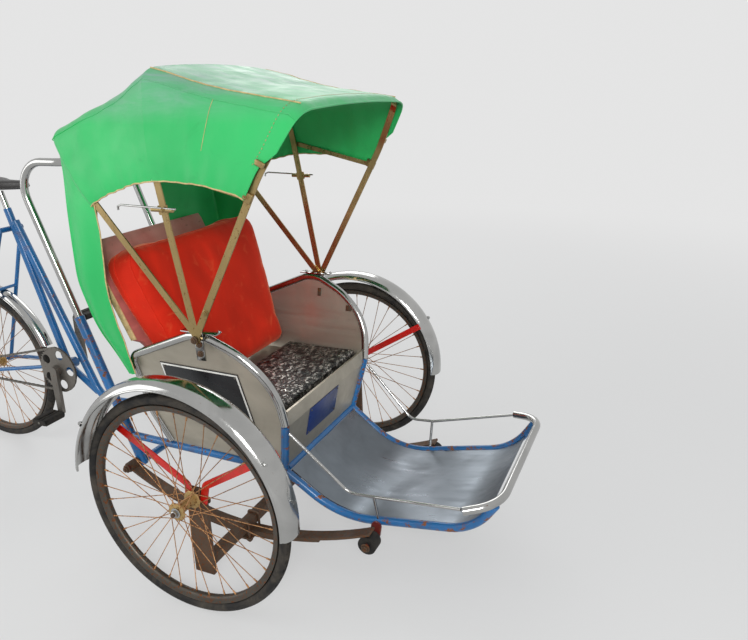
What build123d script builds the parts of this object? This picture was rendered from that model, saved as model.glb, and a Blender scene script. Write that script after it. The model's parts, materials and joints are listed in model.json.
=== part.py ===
from build123d import *
from math import atan2, cos, radians, sin
import os

os.makedirs("parts", exist_ok=True)

# A three-wheeled cycle rickshaw: a passenger carriage between two front wheels,
# and a driver's frame behind it that swings about an upright pin to steer.
# Millimetres, +X forward, +Y to the vehicle's left, +Z up.
# The lengths along X below are measured from the front axle.

# Wheels
wheel_radius = 330
tyre_width = 36
tyre_tread_width = 16
rim_radius = 297
rim_depth = 16
rim_width = 24
tyre_seat = 0.2
spoke_count = 36
spoke_width = 2.2
spoke_cross = 50
flange_radius = 26
flange_width = 3
hub_radius = 14
track = 1110
wheelbase = 1430
front_hub_half = 36
front_flange_half = 30
rear_hub_half = 44
rear_flange_half = 28
axle_radius = 6
rear_axle_radius = 5
bearing_gap = 0.08

# General
seat_gap = 0.3
frame_tube = 25
sides = (("right", -1), ("left", 1))

# Carriage side planes, which lean outwards
side_base_z = 286
side_base_y = 236
side_flare = 0.225
panel_thickness = 2

# Carriage frame
post_foot_x = 119
post_head_x = 158
post_head_z = 463
lower_rail_z = 296
foot_half_width = 222
rear_post_tube = 32
rear_post_half_width = 240
rear_post_foot_x = -444
rear_post_foot_z = 190
rear_post_head_z = 700
rear_post_lean = 0.3616

# Foot rail corners forward of the front post (x, half width, z)
foot_rail_corners = (
    (242, foot_half_width, 197),
    (332, foot_half_width, 171),
    (423, foot_half_width, 176),
    (690, foot_half_width + 16, 228),
    (775.3, foot_half_width + 27, 330.9),
)
foot_rail_bends = (30, 60, 60, 60, 60)

# Arm rail corners (x, z), along the edge of the side panel
rail_corners = (
    (156, 585),
    (72, 692),
    (-75, 745),
    (-348, 630),
    (-340, 420),
)
rail_bends = (90, 110, 120, 40, 60)
rail_tail_x = -302

# Flat arm rest strip on top of each arm rail
strip_front_x = 25
strip_rear_x = -120
strip_width = 28
strip_thickness = 4
strip_inset = 5

# Seat and back
deck_z = 452
deck_thickness = 12
deck_rear_x = -300
seat_rail_x = 150
seat_rail_thickness = 8
seat_rail_top = 500
pad_rear_x = -150
pad_thickness = 36
board_foot_x = -228
board_head_x = -410
board_head_z = 1000
board_half_width = 280
board_thickness = 20
cushion_foot_z = 515
cushion_head_z = 965
cushion_foot_half = 262
cushion_head_half = 281
cushion_thickness = 92

# Footboard and front bar
footboard_thickness = 2.5
footboard_front_x = 752
bar_tube = 24
bar_front_x = 791
bar_z = 344
bar_half_width = 262
bar_tip_x = 700
bar_tip_half_width = 300
rod_diameter = 9
rod_half_width = 252
rod_knee_x = 345
rod_knee_z = 268
strut_x = 423
strut_foot_z = 176
strut_top_z = 273

# Footboard profile (x, z), from the front posts forward
footboard_profile = (
    (post_foot_x + 14, 283),
    (246, 201),
    (332, 174),
    (strut_x + 1, 179),
    (690, 231),
    (footboard_front_x, 290),
)
footboard_bends = (60, 60, 60, 40)
footboard_flare_x = 690
footboard_flare = 15

# Suspension and front axle
spring_half_track = 282
spring_width = 40
leaf_thickness = 7
spring_middle_z = 84
spring_front_x = 426
spring_front_z = 178
spring_rear_z = 208
eye_radius = 17
roller_radius = 28
roller_x = 418
roller_z = 139.6
eye_pin_radius = 8
beam_rest = 0.6
axle_beam_size = 30
stay_thickness = 4
axle_drop_thickness = 12
clamp_rod = 8
clamp_plate = 6
leaf_count = 3

# Front mudguards, a little above the wheel's own centre
guard_centre_x = -6
guard_centre_z = 350
guard_bead_radius = 334
guard_crown_radius = 353
guard_half_width = 42
guard_sheet = 1.6
guard_roll = 3.2
guard_front_angle = -12
guard_sweep = 186

# Hood
pivot_x = -54
pivot_z = 735
bow_width = 20
bow_thickness = 4
bow_layer = 6
bracket_thickness = 4
pivot_rail_z = 737
pin_radius = 4
straight_leg = 520
bow_corner_bend = 60
cloth_thickness = 3
cloth_lift = 7.8
cloth_half_width = 380
curtain_top_x = -528
curtain_top_z = 1288
curtain_foot_x = -438
curtain_foot_z = 640

# Handlebar
bar_hoop_tube = 25
hoop_top_z = 1196
hoop_rear_z = hoop_top_z - 78
hoop_cross_x = -566

# Steering pin and driver's frame
pin_tube_radius = 14
head_radius = 23
upper_cross_z = 360
main_tube = 30
seat_tube = 28
crank_ahead = 429
crank_x = crank_ahead - wheelbase
crank_z = 384
seat_tube_head_x = crank_x - 175
seat_tube_head_z = 992
main_bend_x = crank_x + 151
main_bend_z = 258
main_head_x = crank_x - 145
main_head_z = 946
brace_foot_x = crank_x + 133
brace_foot_z = 288
stay_tube = 15
axle_stay_half = 74
saddle_half_width = 95
saddle_nose = 150
saddle_tail = 115
saddle_height = 45

# Drive
chain_half_track = 55
chainring_teeth = 44
sprocket_teeth = 18
chain_pitch = 12.7
chain_height = 8
chain_width = 7
tooth_gap = 0.6
crank_length = 170
spindle_radius = 8
pedal_depth = 70
pedal_height = 24
pedal_width = 92
pedal_spindle = 10
pedal_barrel = 20
pedal_block = 24
pedal_end_plate = 4
crank_boss = 17
crank_eye = 13
crank_arm_thickness = 14

# Rear mudguard
rear_guard_radius = wheel_radius + 34
rear_guard_half_width = 27
rear_guard_depth = 18

# The part's origin lies on the floor below the middle of its length
front_reach = bar_front_x + bar_tube / 2
rear_reach = wheelbase + rear_guard_radius
front_axle_x = (rear_reach - front_reach) / 2


def at(x, y, z):
    """A point whose x is measured from the front axle."""
    return Vector(front_axle_x + x, y, z)


def side_y(z):
    """Half width of the carriage side plane at height z."""
    return side_base_y + side_flare * (z - side_base_z)


def on_side(x, z, sign, out=0):
    """A point on the leaning side plane, or out from it."""
    return at(x, sign * (side_y(z) + out), z)


def rear_post_x(z):
    """The rear posts and the handlebar legs lean back as they rise."""
    return rear_post_foot_x - rear_post_lean * (z - rear_post_foot_z)


def bent_tube(points, bends, diameter):
    """A round tube along straight runs with an arc at each corner."""
    with BuildPart() as bent:
        with BuildLine() as route:
            FilletPolyline(*points, radius=bends)
        with BuildSketch(Plane(origin=route.line @ 0, z_dir=route.line % 0)):
            Circle(diameter / 2)
        sweep()
    return bent.part


def rod(start, end, diameter):
    """A straight round bar between two points."""
    run = end - start
    with BuildPart() as straight:
        with BuildSketch(Plane(origin=start, z_dir=run)):
            Circle(diameter / 2)
        extrude(amount=run.length)
    return straight.part


def flat_bar(start, end, width, thickness, across):
    """A flat bar between two points, its width along the direction across."""
    run = end - start
    with BuildPart() as bar:
        with BuildSketch(Plane(origin=start, x_dir=across, z_dir=run)):
            Rectangle(width, thickness)
        extrude(amount=run.length)
    return bar.part


def turned(points, centre, start_angle, sweep_angle):
    """Revolve a section of (radius, y) points about a crosswise axis."""
    radial = Vector(cos(radians(start_angle)), 0, sin(radians(start_angle)))
    with BuildPart() as ring:
        with BuildSketch(Plane(origin=centre, x_dir=radial, z_dir=radial.cross(Vector(0, 1, 0)))):
            with BuildLine():
                Polyline(*points, close=True)
            make_face()
        revolve(axis=Axis(centre, (0, -1, 0)), revolution_arc=sweep_angle)
    return ring.part


def rolled_edges(centre, edge_radius, half_width, start_angle, sweep_angle):
    """The round beads along both edges of a mudguard."""
    radial = Vector(cos(radians(start_angle)), 0, sin(radians(start_angle)))
    with BuildPart() as beads:
        with BuildSketch(Plane(origin=centre, x_dir=radial, z_dir=radial.cross(Vector(0, 1, 0)))):
            with Locations((edge_radius + guard_roll, 0)):
                with GridLocations(0, 2 * (half_width - guard_roll), 1, 2):
                    Circle(guard_roll)
        revolve(axis=Axis(centre, (0, -1, 0)), revolution_arc=sweep_angle)
    return beads.part


def save(piece, name):
    piece.label = name
    export_step(piece, f"parts/{name}.step")


# Wheels: tyre, rim and laced hub for each
tyre_section = (
    (rim_radius + tyre_seat, -11),
    (306, -tyre_width / 2),
    (319, -tyre_width / 2 + 1),
    (wheel_radius, -tyre_tread_width / 2),
    (wheel_radius, tyre_tread_width / 2),
    (319, tyre_width / 2 - 1),
    (306, tyre_width / 2),
    (rim_radius + tyre_seat, 11),
)
rim_section = (
    (rim_radius - rim_depth, -7),
    (rim_radius - rim_depth + 7, -rim_width / 2),
    (rim_radius, -rim_width / 2),
    (rim_radius, rim_width / 2),
    (rim_radius - rim_depth + 7, rim_width / 2),
    (rim_radius - rim_depth, 7),
)


def hub_section(half, flange_half, bore):
    return (
        (bore, -half),
        (hub_radius, -half),
        (hub_radius, -flange_half - flange_width),
        (flange_radius, -flange_half - flange_width),
        (flange_radius, -flange_half),
        (hub_radius, -flange_half),
        (hub_radius, flange_half),
        (flange_radius, flange_half),
        (flange_radius, flange_half + flange_width),
        (hub_radius, flange_half + flange_width),
        (hub_radius, half),
        (bore, half),
    )


def spoke(centre, flange_half, turn, cross, side):
    """One spoke from a hub flange to the rim."""
    hub_angle = radians(turn + cross)
    rim_angle = radians(turn)
    hub_reach = flange_radius - 4
    rim_reach = rim_radius - rim_depth + 2
    flange_y = side * (flange_half + flange_width / 2)
    inner = centre + Vector(hub_reach * cos(hub_angle), flange_y, hub_reach * sin(hub_angle))
    outer = centre + Vector(rim_reach * cos(rim_angle), side * 3, rim_reach * sin(rim_angle))
    return flat_bar(inner, outer, spoke_width, spoke_width, (0, 1, 0))


wheel_rows = (
    # name, x, y, hub half length, flange half spacing, axle radius
    ("right", 0, -track / 2, front_hub_half, front_flange_half, axle_radius),
    ("left", 0, track / 2, front_hub_half, front_flange_half, axle_radius),
    ("rear", -wheelbase, 0, rear_hub_half, rear_flange_half, rear_axle_radius),
)
for name, x, y, half, flange_half, radius in wheel_rows:
    centre = at(x, y, wheel_radius)
    with BuildPart() as tyre:
        add(turned(tyre_section, centre, 0, 360))
    save(tyre.part, f"tyre_{name}")
    with BuildPart() as rim:
        add(turned(rim_section, centre, 0, 360))
    save(rim.part, f"rim_{name}")
    spokes = []
    for index in range(spoke_count):
        side = 1 if index % 2 else -1
        cross = spoke_cross if index % 4 < 2 else -spoke_cross
        spokes.append(spoke(centre, flange_half, 360 * index / spoke_count, cross, side))
    with BuildPart() as hub:
        add(turned(hub_section(half, flange_half, radius + bearing_gap), centre, 0, 360))
        add(spokes)
        if name == "rear":
            sprocket_face = centre - Vector(0, chain_half_track - 1.5, 0)
            with BuildSketch(Plane(origin=sprocket_face, z_dir=(0, -1, 0))):
                Circle(chain_pitch / 2 / sin(radians(180 / sprocket_teeth)) - 4)
                Circle(hub_radius, mode=Mode.SUBTRACT)
            extrude(amount=3)
            with BuildSketch(Plane(origin=centre - Vector(0, half, 0), z_dir=(0, -1, 0))):
                Circle(hub_radius + 4)
                Circle(radius + bearing_gap, mode=Mode.SUBTRACT)
            extrude(amount=chain_half_track - half + 1.5)
    save(hub.part, f"hub_{name}")

# Carriage side frames: lower rail that becomes the foot rail, front post, rear post
for side, sign in sides:
    post_foot = at(post_foot_x, sign * side_base_y, side_base_z)
    with BuildPart() as side_frame:
        rail_points = (
            at(rear_post_x(lower_rail_z), sign * rear_post_half_width, lower_rail_z),
            post_foot,
            *[at(x, sign * half, z) for x, half, z in foot_rail_corners],
        )
        add(bent_tube(rail_points, foot_rail_bends, frame_tube))
        add(rod(post_foot, on_side(post_head_x, post_head_z, sign), frame_tube))
        rear_foot = at(rear_post_x(rear_post_foot_z), sign * rear_post_half_width, rear_post_foot_z)
        rear_head = at(rear_post_x(rear_post_head_z), sign * rear_post_half_width, rear_post_head_z)
        add(rod(rear_foot, rear_head, rear_post_tube))
    save(side_frame.part, f"side_frame_{side}")

# Cross tubes and the steering pin
cross_half = rear_post_half_width - rear_post_tube / 2 - seat_gap
lower_cross_z = rear_post_foot_z + 12
pin_x = rear_post_x(upper_cross_z)
plate_z = lower_cross_z + 4
plate_thickness = 8
with BuildPart() as steering_pin:
    for z in (lower_cross_z, upper_cross_z):
        x = rear_post_x(z)
        add(rod(at(x, -cross_half, z), at(x, cross_half, z), frame_tube))
    with BuildSketch(Plane.XY.offset(plate_z)):
        with Locations(at((pin_x + rear_post_x(lower_cross_z)) / 2, 0, 0)):
            Rectangle(rear_post_x(lower_cross_z) - pin_x + 2 * head_radius, 3 * head_radius)
    extrude(amount=plate_thickness)
    add(rod(at(pin_x, 0, plate_z), at(pin_x, 0, upper_cross_z), 2 * pin_tube_radius))
save(steering_pin.part, "steering_pin")

front_cross_half = side_base_y - frame_tube / 2 - 1.7
front_cross_start = at(post_foot_x, -front_cross_half, side_base_z)
front_cross_end = at(post_foot_x, front_cross_half, side_base_z)
with BuildPart() as front_cross_tube:
    add(rod(front_cross_start, front_cross_end, frame_tube))
save(front_cross_tube.part, "front_cross_tube")

# Arm rails and side panels
lean = atan2(side_flare, 1)
rail_tail_z = lower_rail_z + frame_tube / 2 + 5
rail_start_z = post_head_z + 3.5
for side, sign in sides:
    corners = [on_side(x, z, sign) for x, z in rail_corners]
    ends = (
        on_side(post_head_x, rail_start_z, sign),
        on_side(rail_tail_x, rail_tail_z, sign),
    )
    with BuildPart() as arm_rail:
        add(bent_tube((ends[0], *corners, ends[1]), rail_bends, frame_tube))
        strip_z = pivot_rail_z + frame_tube / 2 - 1
        strip_middle = on_side((strip_front_x + strip_rear_x) / 2, strip_z, sign, -strip_inset)
        with BuildSketch(Plane.XY.offset(strip_z)):
            with Locations(Vector(strip_middle.X, strip_middle.Y, 0)):
                RectangleRounded(strip_front_x - strip_rear_x, strip_width, 4)
        extrude(amount=strip_thickness)
    save(arm_rail.part, f"arm_rail_{side}")

    side_plane = Plane(
        origin=at(0, sign * side_base_y, side_base_z),
        x_dir=(1, 0, 0),
        z_dir=(0, -cos(lean), sign * sin(lean)),
    )
    outline = [
        (post_foot_x, side_base_z),
        (post_head_x, post_head_z),
        *rail_corners,
        (rail_tail_x + 6, lower_rail_z),
    ]
    drawn = [(x, (z - side_base_z) / cos(lean)) for x, z in outline]
    with BuildPart() as side_panel:
        with BuildSketch(side_plane):
            with BuildLine():
                FilletPolyline(*drawn, radius=(4, 60, *rail_bends, 4), close=True)
            make_face()
            offset(amount=-frame_tube / 2 - seat_gap, kind=Kind.INTERSECTION, mode=Mode.REPLACE)
        extrude(amount=panel_thickness / 2, both=True)
    save(side_panel.part, f"side_panel_{side}")

# Seat deck with its front rail, and the panel below it
deck_half = side_y(deck_z) - panel_thickness - seat_gap
post_inner = side_y(deck_z) - frame_tube / 2 - 1
with BuildPart() as seat_deck:
    with BuildSketch(Plane.XY.offset(deck_z)):
        with BuildLine():
            Polyline(
                at(deck_rear_x, -deck_half, deck_z),
                at(post_head_x - 20, -deck_half, deck_z),
                at(post_head_x - 20, -post_inner, deck_z),
                at(seat_rail_x, -post_inner, deck_z),
                at(seat_rail_x, post_inner, deck_z),
                at(post_head_x - 20, post_inner, deck_z),
                at(post_head_x - 20, deck_half, deck_z),
                at(deck_rear_x, deck_half, deck_z),
                close=True,
            )
        make_face()
    extrude(amount=deck_thickness)
    with BuildSketch(Plane.XY.offset(deck_z)):
        with Locations(at(seat_rail_x + seat_rail_thickness / 2, 0, 0)):
            Rectangle(seat_rail_thickness, 2 * post_inner)
    extrude(amount=seat_rail_top - deck_z)
save(seat_deck.part, "seat_deck")

apron_foot_z = side_base_z + frame_tube / 2 + 1
apron_head_z = deck_z - seat_gap
post_slope = (post_head_x - post_foot_x) / (post_head_z - side_base_z)
apron_foot = at(post_foot_x + post_slope * (apron_foot_z - side_base_z), 0, apron_foot_z)
apron_head = at(post_foot_x + post_slope * (apron_head_z - side_base_z), 0, apron_head_z)
apron_rise = apron_head - apron_foot
apron_plane = Plane(origin=apron_foot, x_dir=(0, 1, 0), z_dir=Vector(0, 1, 0).cross(apron_rise))
foot_half = side_y(apron_foot_z) - frame_tube / 2 - 2 * seat_gap
head_half = side_y(apron_head_z) - frame_tube / 2 - 2 * seat_gap
with BuildPart() as seat_front_panel:
    with BuildSketch(apron_plane):
        with BuildLine():
            Polyline(
                (-foot_half, 0),
                (foot_half, 0),
                (head_half, apron_rise.length - 1),
                (-head_half, apron_rise.length - 1),
                close=True,
            )
        make_face()
    extrude(amount=panel_thickness / 2, both=True)
save(seat_front_panel.part, "seat_front_panel")

pad_half = deck_half - 8
with BuildPart() as seat_pad:
    with BuildSketch(Plane.XY.offset(deck_z + deck_thickness + seat_gap)):
        with Locations(at((pad_rear_x + seat_rail_x) / 2 - 10, 0, 0)):
            RectangleRounded(seat_rail_x - pad_rear_x - 20 - 2 * seat_gap, 2 * pad_half, 12)
    extrude(amount=pad_thickness)
save(seat_pad.part, "seat_pad")

# Back board and cushion, leaning back between the sides
board_heel = 6.8
board_foot = at(board_foot_x, 0, deck_z + deck_thickness + board_heel + seat_gap)
board_rise = at(board_head_x, 0, board_head_z) - board_foot
board_plane = Plane(origin=board_foot, x_dir=(0, 1, 0), z_dir=Vector(0, 1, 0).cross(board_rise))
board_foot_half = deck_half - 12
board_height = board_rise.length
with BuildPart() as back_board:
    with BuildSketch(board_plane):
        with BuildLine():
            FilletPolyline(
                (-board_foot_half, 0),
                (board_foot_half, 0),
                (board_half_width, board_height * 0.3),
                (board_half_width, board_height),
                (-board_half_width, board_height),
                (-board_half_width, board_height * 0.3),
                radius=(6, 6, 6, 30, 30, 6),
                close=True,
            )
        make_face()
    extrude(amount=-board_thickness)
save(back_board.part, "back_board")

up = board_rise.normalized()
forward = board_plane.z_dir
cushion_plane = Plane(origin=board_foot + forward * seat_gap, x_dir=(0, 1, 0), z_dir=forward)
cushion_low = (cushion_foot_z - board_foot.Z) / up.Z
cushion_high = (cushion_head_z - board_foot.Z) / up.Z
with BuildPart() as back_cushion:
    with BuildSketch(cushion_plane):
        with BuildLine():
            FilletPolyline(
                (-cushion_foot_half, cushion_low),
                (cushion_foot_half, cushion_low),
                (cushion_head_half, cushion_high),
                (-cushion_head_half, cushion_high),
                radius=(35, 35, 45, 45),
                close=True,
            )
        make_face()
    extrude(amount=cushion_thickness)
save(back_cushion.part, "back_cushion")

# Footboard, bent from one sheet between the foot rails
board_half = foot_half_width - frame_tube / 2 - seat_gap
with BuildPart() as footboard:
    with BuildSketch(Plane(origin=at(0, 0, 0), x_dir=(1, 0, 0), z_dir=(0, -1, 0))):
        with BuildLine():
            FilletPolyline(*footboard_profile, radius=footboard_bends)
        trace(line_width=footboard_thickness)
    extrude(amount=foot_half_width + frame_tube, both=True)
    with BuildSketch(Plane.XY):
        with BuildLine():
            Polyline(
                at(post_foot_x, -board_half, 0),
                at(strut_x + 7, -board_half, 0),
                at(footboard_flare_x, -board_half - footboard_flare, 0),
                at(footboard_front_x + 10, -board_half - footboard_flare - 7, 0),
                at(footboard_front_x + 10, board_half + footboard_flare + 7, 0),
                at(footboard_flare_x, board_half + footboard_flare, 0),
                at(strut_x + 7, board_half, 0),
                at(post_foot_x, board_half, 0),
                close=True,
            )
        make_face()
    extrude(amount=2 * bar_z, mode=Mode.INTERSECT)
save(footboard.part, "footboard")

# Front bar: its ends turn back along the foot rails
with BuildPart() as front_bar:
    bar_points = (
        at(bar_tip_x, -bar_tip_half_width, bar_z - 18),
        at(bar_front_x, -bar_half_width, bar_z),
        at(bar_front_x, bar_half_width, bar_z),
        at(bar_tip_x, bar_tip_half_width, bar_z - 18),
    )
    add(bent_tube(bar_points, 40, bar_tube))
save(front_bar.part, "front_bar")

# Guard rods from the posts down and forward to the bar's ends, one strut each
with BuildPart() as guard_rods:
    for side, sign in sides:
        rod_points = (
            on_side(post_head_x + 12, post_head_z - 22, sign, 6),
            at(rod_knee_x, sign * rod_half_width, rod_knee_z),
            at(strut_x + 5, sign * rod_half_width, strut_top_z + 1),
            at(bar_tip_x - 6, sign * (bar_tip_half_width - 6), bar_z - 18),
        )
        add(bent_tube(rod_points, (50, 40), rod_diameter))
        strut_top = at(strut_x, sign * rod_half_width, strut_top_z)
        strut_foot = at(strut_x, sign * (foot_half_width + 6), strut_foot_z + frame_tube / 2 + seat_gap)
        add(rod(strut_foot, strut_top, rod_diameter))
save(guard_rods.part, "guard_rods")

# Front axle: a dropped beam with a stub for each wheel
stay_y = track / 2 - guard_half_width - stay_thickness - seat_gap
axle_drop_half = stay_y - seat_gap
stub_end = track / 2 + front_hub_half + 16
beam_z = spring_middle_z + leaf_thickness / 2 + beam_rest + axle_beam_size / 2
drop_middle_z = (wheel_radius + beam_z) / 2
pack_foot_z = spring_middle_z - leaf_thickness / 2 - (leaf_count - 1) * (leaf_thickness - 0.5)
clamp_plate_z = pack_foot_z - beam_rest - clamp_plate
clamp_half = axle_beam_size / 2 + clamp_rod / 2 - 0.5
clamp_top_z = beam_z + axle_beam_size / 2 + clamp_rod / 2 - 0.5
with BuildPart() as axle_beam:
    with BuildSketch(Plane(origin=at(0, -axle_drop_half, beam_z), z_dir=(0, 1, 0))):
        Rectangle(axle_beam_size, axle_beam_size)
    extrude(amount=2 * axle_drop_half)
    for side, sign in sides:
        drop_middle = at(0, sign * axle_drop_half, drop_middle_z)
        with BuildSketch(Plane(origin=drop_middle, x_dir=(1, 0, 0), z_dir=(0, -sign, 0))):
            Rectangle(64, wheel_radius - beam_z + 50)
        extrude(amount=axle_drop_thickness)
        add(rod(
            at(0, sign * (axle_drop_half - 2), wheel_radius),
            at(0, sign * stub_end, wheel_radius),
            2 * axle_radius,
        ))
        for edge in (-1, 1):
            clamp_y = sign * spring_half_track + edge * (spring_width / 2 + clamp_rod)
            clamp_points = (
                at(-clamp_half, clamp_y, clamp_plate_z),
                at(-clamp_half, clamp_y, clamp_top_z),
                at(clamp_half, clamp_y, clamp_top_z),
                at(clamp_half, clamp_y, clamp_plate_z),
            )
            add(bent_tube(clamp_points, clamp_rod, clamp_rod))
        with BuildSketch(Plane.XY.offset(clamp_plate_z)):
            with Locations(at(0, sign * spring_half_track, 0)):
                RectangleRounded(2 * clamp_half + 16, spring_width + 4 * clamp_rod, 4)
        extrude(amount=clamp_plate)
save(axle_beam.part, "axle_beam")

# Leaf springs under the beam; the front ends rest on rubber rollers
spring_rear_x = rear_post_x(spring_rear_z)
front_slope = (spring_front_z - spring_middle_z) / spring_front_x ** 2
rear_slope = (spring_rear_z - spring_middle_z) / spring_rear_x ** 2


def leaf_line(front, rear, drop):
    """Corners of one leaf of the pack, as (x, z), drop below the main leaf."""
    corners = []
    for x in (rear, rear / 2, 0, front / 2, front):
        slope = front_slope if x > 0 else rear_slope
        corners.append((x, spring_middle_z - drop + slope * x * x))
    return corners


with BuildPart() as leaf_springs:
    for side, sign in sides:
        spring_middle = at(0, sign * spring_half_track, 0)
        with BuildSketch(Plane(origin=spring_middle, x_dir=(1, 0, 0), z_dir=(0, -1, 0))):
            with BuildLine():
                Spline(*leaf_line(spring_front_x, spring_rear_x, 0))
            trace(line_width=leaf_thickness)
            for leaf, reach in ((1, 260), (2, 160)):
                with BuildLine():
                    Spline(*leaf_line(reach, -reach, leaf * (leaf_thickness - 0.5)))
                trace(line_width=leaf_thickness)
            with Locations((spring_rear_x, spring_rear_z)):
                Circle(eye_radius)
                Circle(eye_pin_radius + seat_gap, mode=Mode.SUBTRACT)
        extrude(amount=spring_width / 2, both=True)
save(leaf_springs.part, "leaf_springs")

# Spring hangers: a pin out of each rear post, a plate and pin below each foot rail
rear_pin_inner = rear_post_half_width + rear_post_tube / 2 + seat_gap
pin_outer = spring_half_track + spring_width / 2 + 8
plate_inner = foot_half_width + frame_tube / 2 + 4 * seat_gap
hanger_head_z = 182
link_radius = 16
link_thickness = 6
with BuildPart() as spring_hangers:
    for side, sign in sides:
        add(rod(
            at(spring_rear_x, sign * rear_pin_inner, spring_rear_z),
            at(spring_rear_x, sign * pin_outer, spring_rear_z),
            2 * eye_pin_radius,
        ))
        link_middle = at(0, sign * (plate_inner + link_thickness / 2), 0)
        with BuildSketch(Plane(origin=link_middle, x_dir=(1, 0, 0), z_dir=(0, -1, 0))):
            with Locations((roller_x, roller_z), (roller_x + 4, hanger_head_z - link_radius)):
                Circle(link_radius)
            make_hull()
        extrude(amount=link_thickness / 2, both=True)
        add(rod(
            at(roller_x, sign * (plate_inner + 2), roller_z),
            at(roller_x, sign * pin_outer, roller_z),
            2 * eye_pin_radius,
        ))
save(spring_hangers.part, "spring_hangers")

with BuildPart() as spring_rollers:
    for side, sign in sides:
        with BuildSketch(Plane(origin=at(roller_x, sign * spring_half_track, roller_z), z_dir=(0, 1, 0))):
            Circle(roller_radius)
            Circle(eye_pin_radius + seat_gap, mode=Mode.SUBTRACT)
        extrude(amount=spring_width / 2, both=True)
save(spring_rollers.part, "spring_rollers")

# Front mudguards and their flat stays
guard_section = (
    (guard_bead_radius, -guard_half_width),
    (guard_crown_radius - 8, -guard_half_width + 5),
    (guard_crown_radius, -14),
    (guard_crown_radius, 14),
    (guard_crown_radius - 8, guard_half_width - 5),
    (guard_bead_radius, guard_half_width),
    (guard_bead_radius, guard_half_width - guard_sheet),
    (guard_crown_radius - 8 - guard_sheet / 2, guard_half_width - 5 - guard_sheet),
    (guard_crown_radius - guard_sheet, 13.5),
    (guard_crown_radius - guard_sheet, -13.5),
    (guard_crown_radius - 8 - guard_sheet / 2, -guard_half_width + 5 + guard_sheet),
    (guard_bead_radius, -guard_half_width + guard_sheet),
)
for side, sign in sides:
    centre = at(guard_centre_x, sign * track / 2, guard_centre_z)
    with BuildPart() as mudguard:
        add(turned(guard_section, centre, guard_front_angle, guard_sweep))
        add(rolled_edges(centre, guard_bead_radius, guard_half_width, guard_front_angle, guard_sweep))
    save(mudguard.part, f"mudguard_{side}")

stay_width = 22
stay_rows = (
    # foot x, foot z, knee x, knee z, angle of the head round the mudguard
    (-22, 318, -18, 366, 148),
    (28, 318, 42, 376, 31),
)
with BuildPart() as mudguard_stays:
    for side, sign in sides:
        for foot_x, foot_z, knee_x, knee_z, angle in stay_rows:
            head_x = guard_centre_x + (guard_bead_radius + 1) * cos(radians(angle))
            head_z = guard_centre_z + (guard_bead_radius + 1) * sin(radians(angle))
            with BuildSketch(Plane(origin=at(0, sign * stay_y, 0), x_dir=(1, 0, 0), z_dir=(0, -1, 0))):
                with BuildLine():
                    FilletPolyline((foot_x, foot_z), (knee_x, knee_z), (head_x, head_z), radius=14)
                trace(line_width=stay_width)
            extrude(amount=-sign * stay_thickness)
save(mudguard_stays.part, "mudguard_stays")

# Hood bows: flat bars that share one pin on each side
bow_rows = {
    # angle forward of upright, layer, corner half width, corner radius, skirt start from the pin
    "rear_bow": (-39.7, 0, 305, 724, 515),
    "middle_bow": (-9.2, 1, 300, 716, 425),
    "front_bow": (28.7, 2, 318, 698, 455),
}
crown = 14
brace_reach = 457
stay_clamp_reach = 364
stay_clamp_height = 26
stay_rung = 70
brace_end_x = -122
brace_end_z = 1204
bracket_y = side_y(pivot_rail_z) + frame_tube / 2 + seat_gap + bracket_thickness / 2
bow_inner_y = bracket_y + bracket_thickness / 2 + seat_gap


def bow_plane(angle):
    tilt = radians(angle)
    return Plane(origin=at(pivot_x, 0, pivot_z), x_dir=(0, 1, 0), z_dir=(cos(tilt), 0, -sin(tilt)))


def bow_path(half, foot, corner_half, corner_radius, lift):
    """Leg, corner, crowned top, corner and leg, in a bow's plane."""
    return (
        (-half, foot),
        (-half, straight_leg),
        (-corner_half, corner_radius + lift),
        (0, corner_radius + lift + crown),
        (corner_half, corner_radius + lift),
        (half, straight_leg),
        (half, foot),
    )


for name, (angle, layer, corner_half, corner_radius, skirt) in bow_rows.items():
    half = bow_inner_y + bow_layer * layer + bow_thickness / 2
    with BuildPart() as bow:
        with BuildSketch(bow_plane(angle)):
            with BuildLine():
                FilletPolyline(
                    *bow_path(half, -bow_width / 2, corner_half, corner_radius, 0),
                    radius=(200, bow_corner_bend, 500, bow_corner_bend, 200),
                )
            trace(line_width=bow_thickness)
        extrude(amount=bow_width / 2, both=True)
        for sign in (-1, 1):
            if layer == 0:
                add(rod(
                    at(pivot_x, sign * (bow_inner_y + 1), pivot_z),
                    at(pivot_x, sign * (bow_inner_y + 3 * bow_layer), pivot_z),
                    2 * pin_radius,
                ))
            else:
                with BuildSketch(Plane(origin=at(pivot_x, sign * half, pivot_z), z_dir=(0, 1, 0))):
                    Circle(pin_radius + bearing_gap)
                extrude(amount=bow_thickness, both=True, mode=Mode.SUBTRACT)
            if name == "middle_bow":
                clamp = at(
                    pivot_x + stay_clamp_reach * sin(radians(angle)),
                    sign * half,
                    pivot_z + stay_clamp_reach * cos(radians(angle)),
                )
                with BuildSketch(Plane(origin=clamp, x_dir=bow_plane(angle).z_dir, z_dir=(0, sign, 0))):
                    RectangleRounded(bow_width + 10, stay_clamp_height, 4)
                extrude(amount=bow_thickness / 2 + 3)
                rung = Vector(stay_rung / 2, 0, 0)
                rung_y = Vector(0, sign * (bow_thickness / 2 + 4), 0)
                add(rod(clamp + rung_y - rung, clamp + rung_y + rung, 12))
            if layer == 2:
                brace_y = sign * (half + bow_thickness - 0.5)
                tilt = radians(angle)
                add(flat_bar(
                    at(pivot_x + brace_reach * sin(tilt), brace_y, pivot_z + brace_reach * cos(tilt)),
                    at(brace_end_x, brace_y, brace_end_z),
                    bow_thickness,
                    14,
                    (0, 1, 0),
                ))
    save(bow.part, name)

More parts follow.
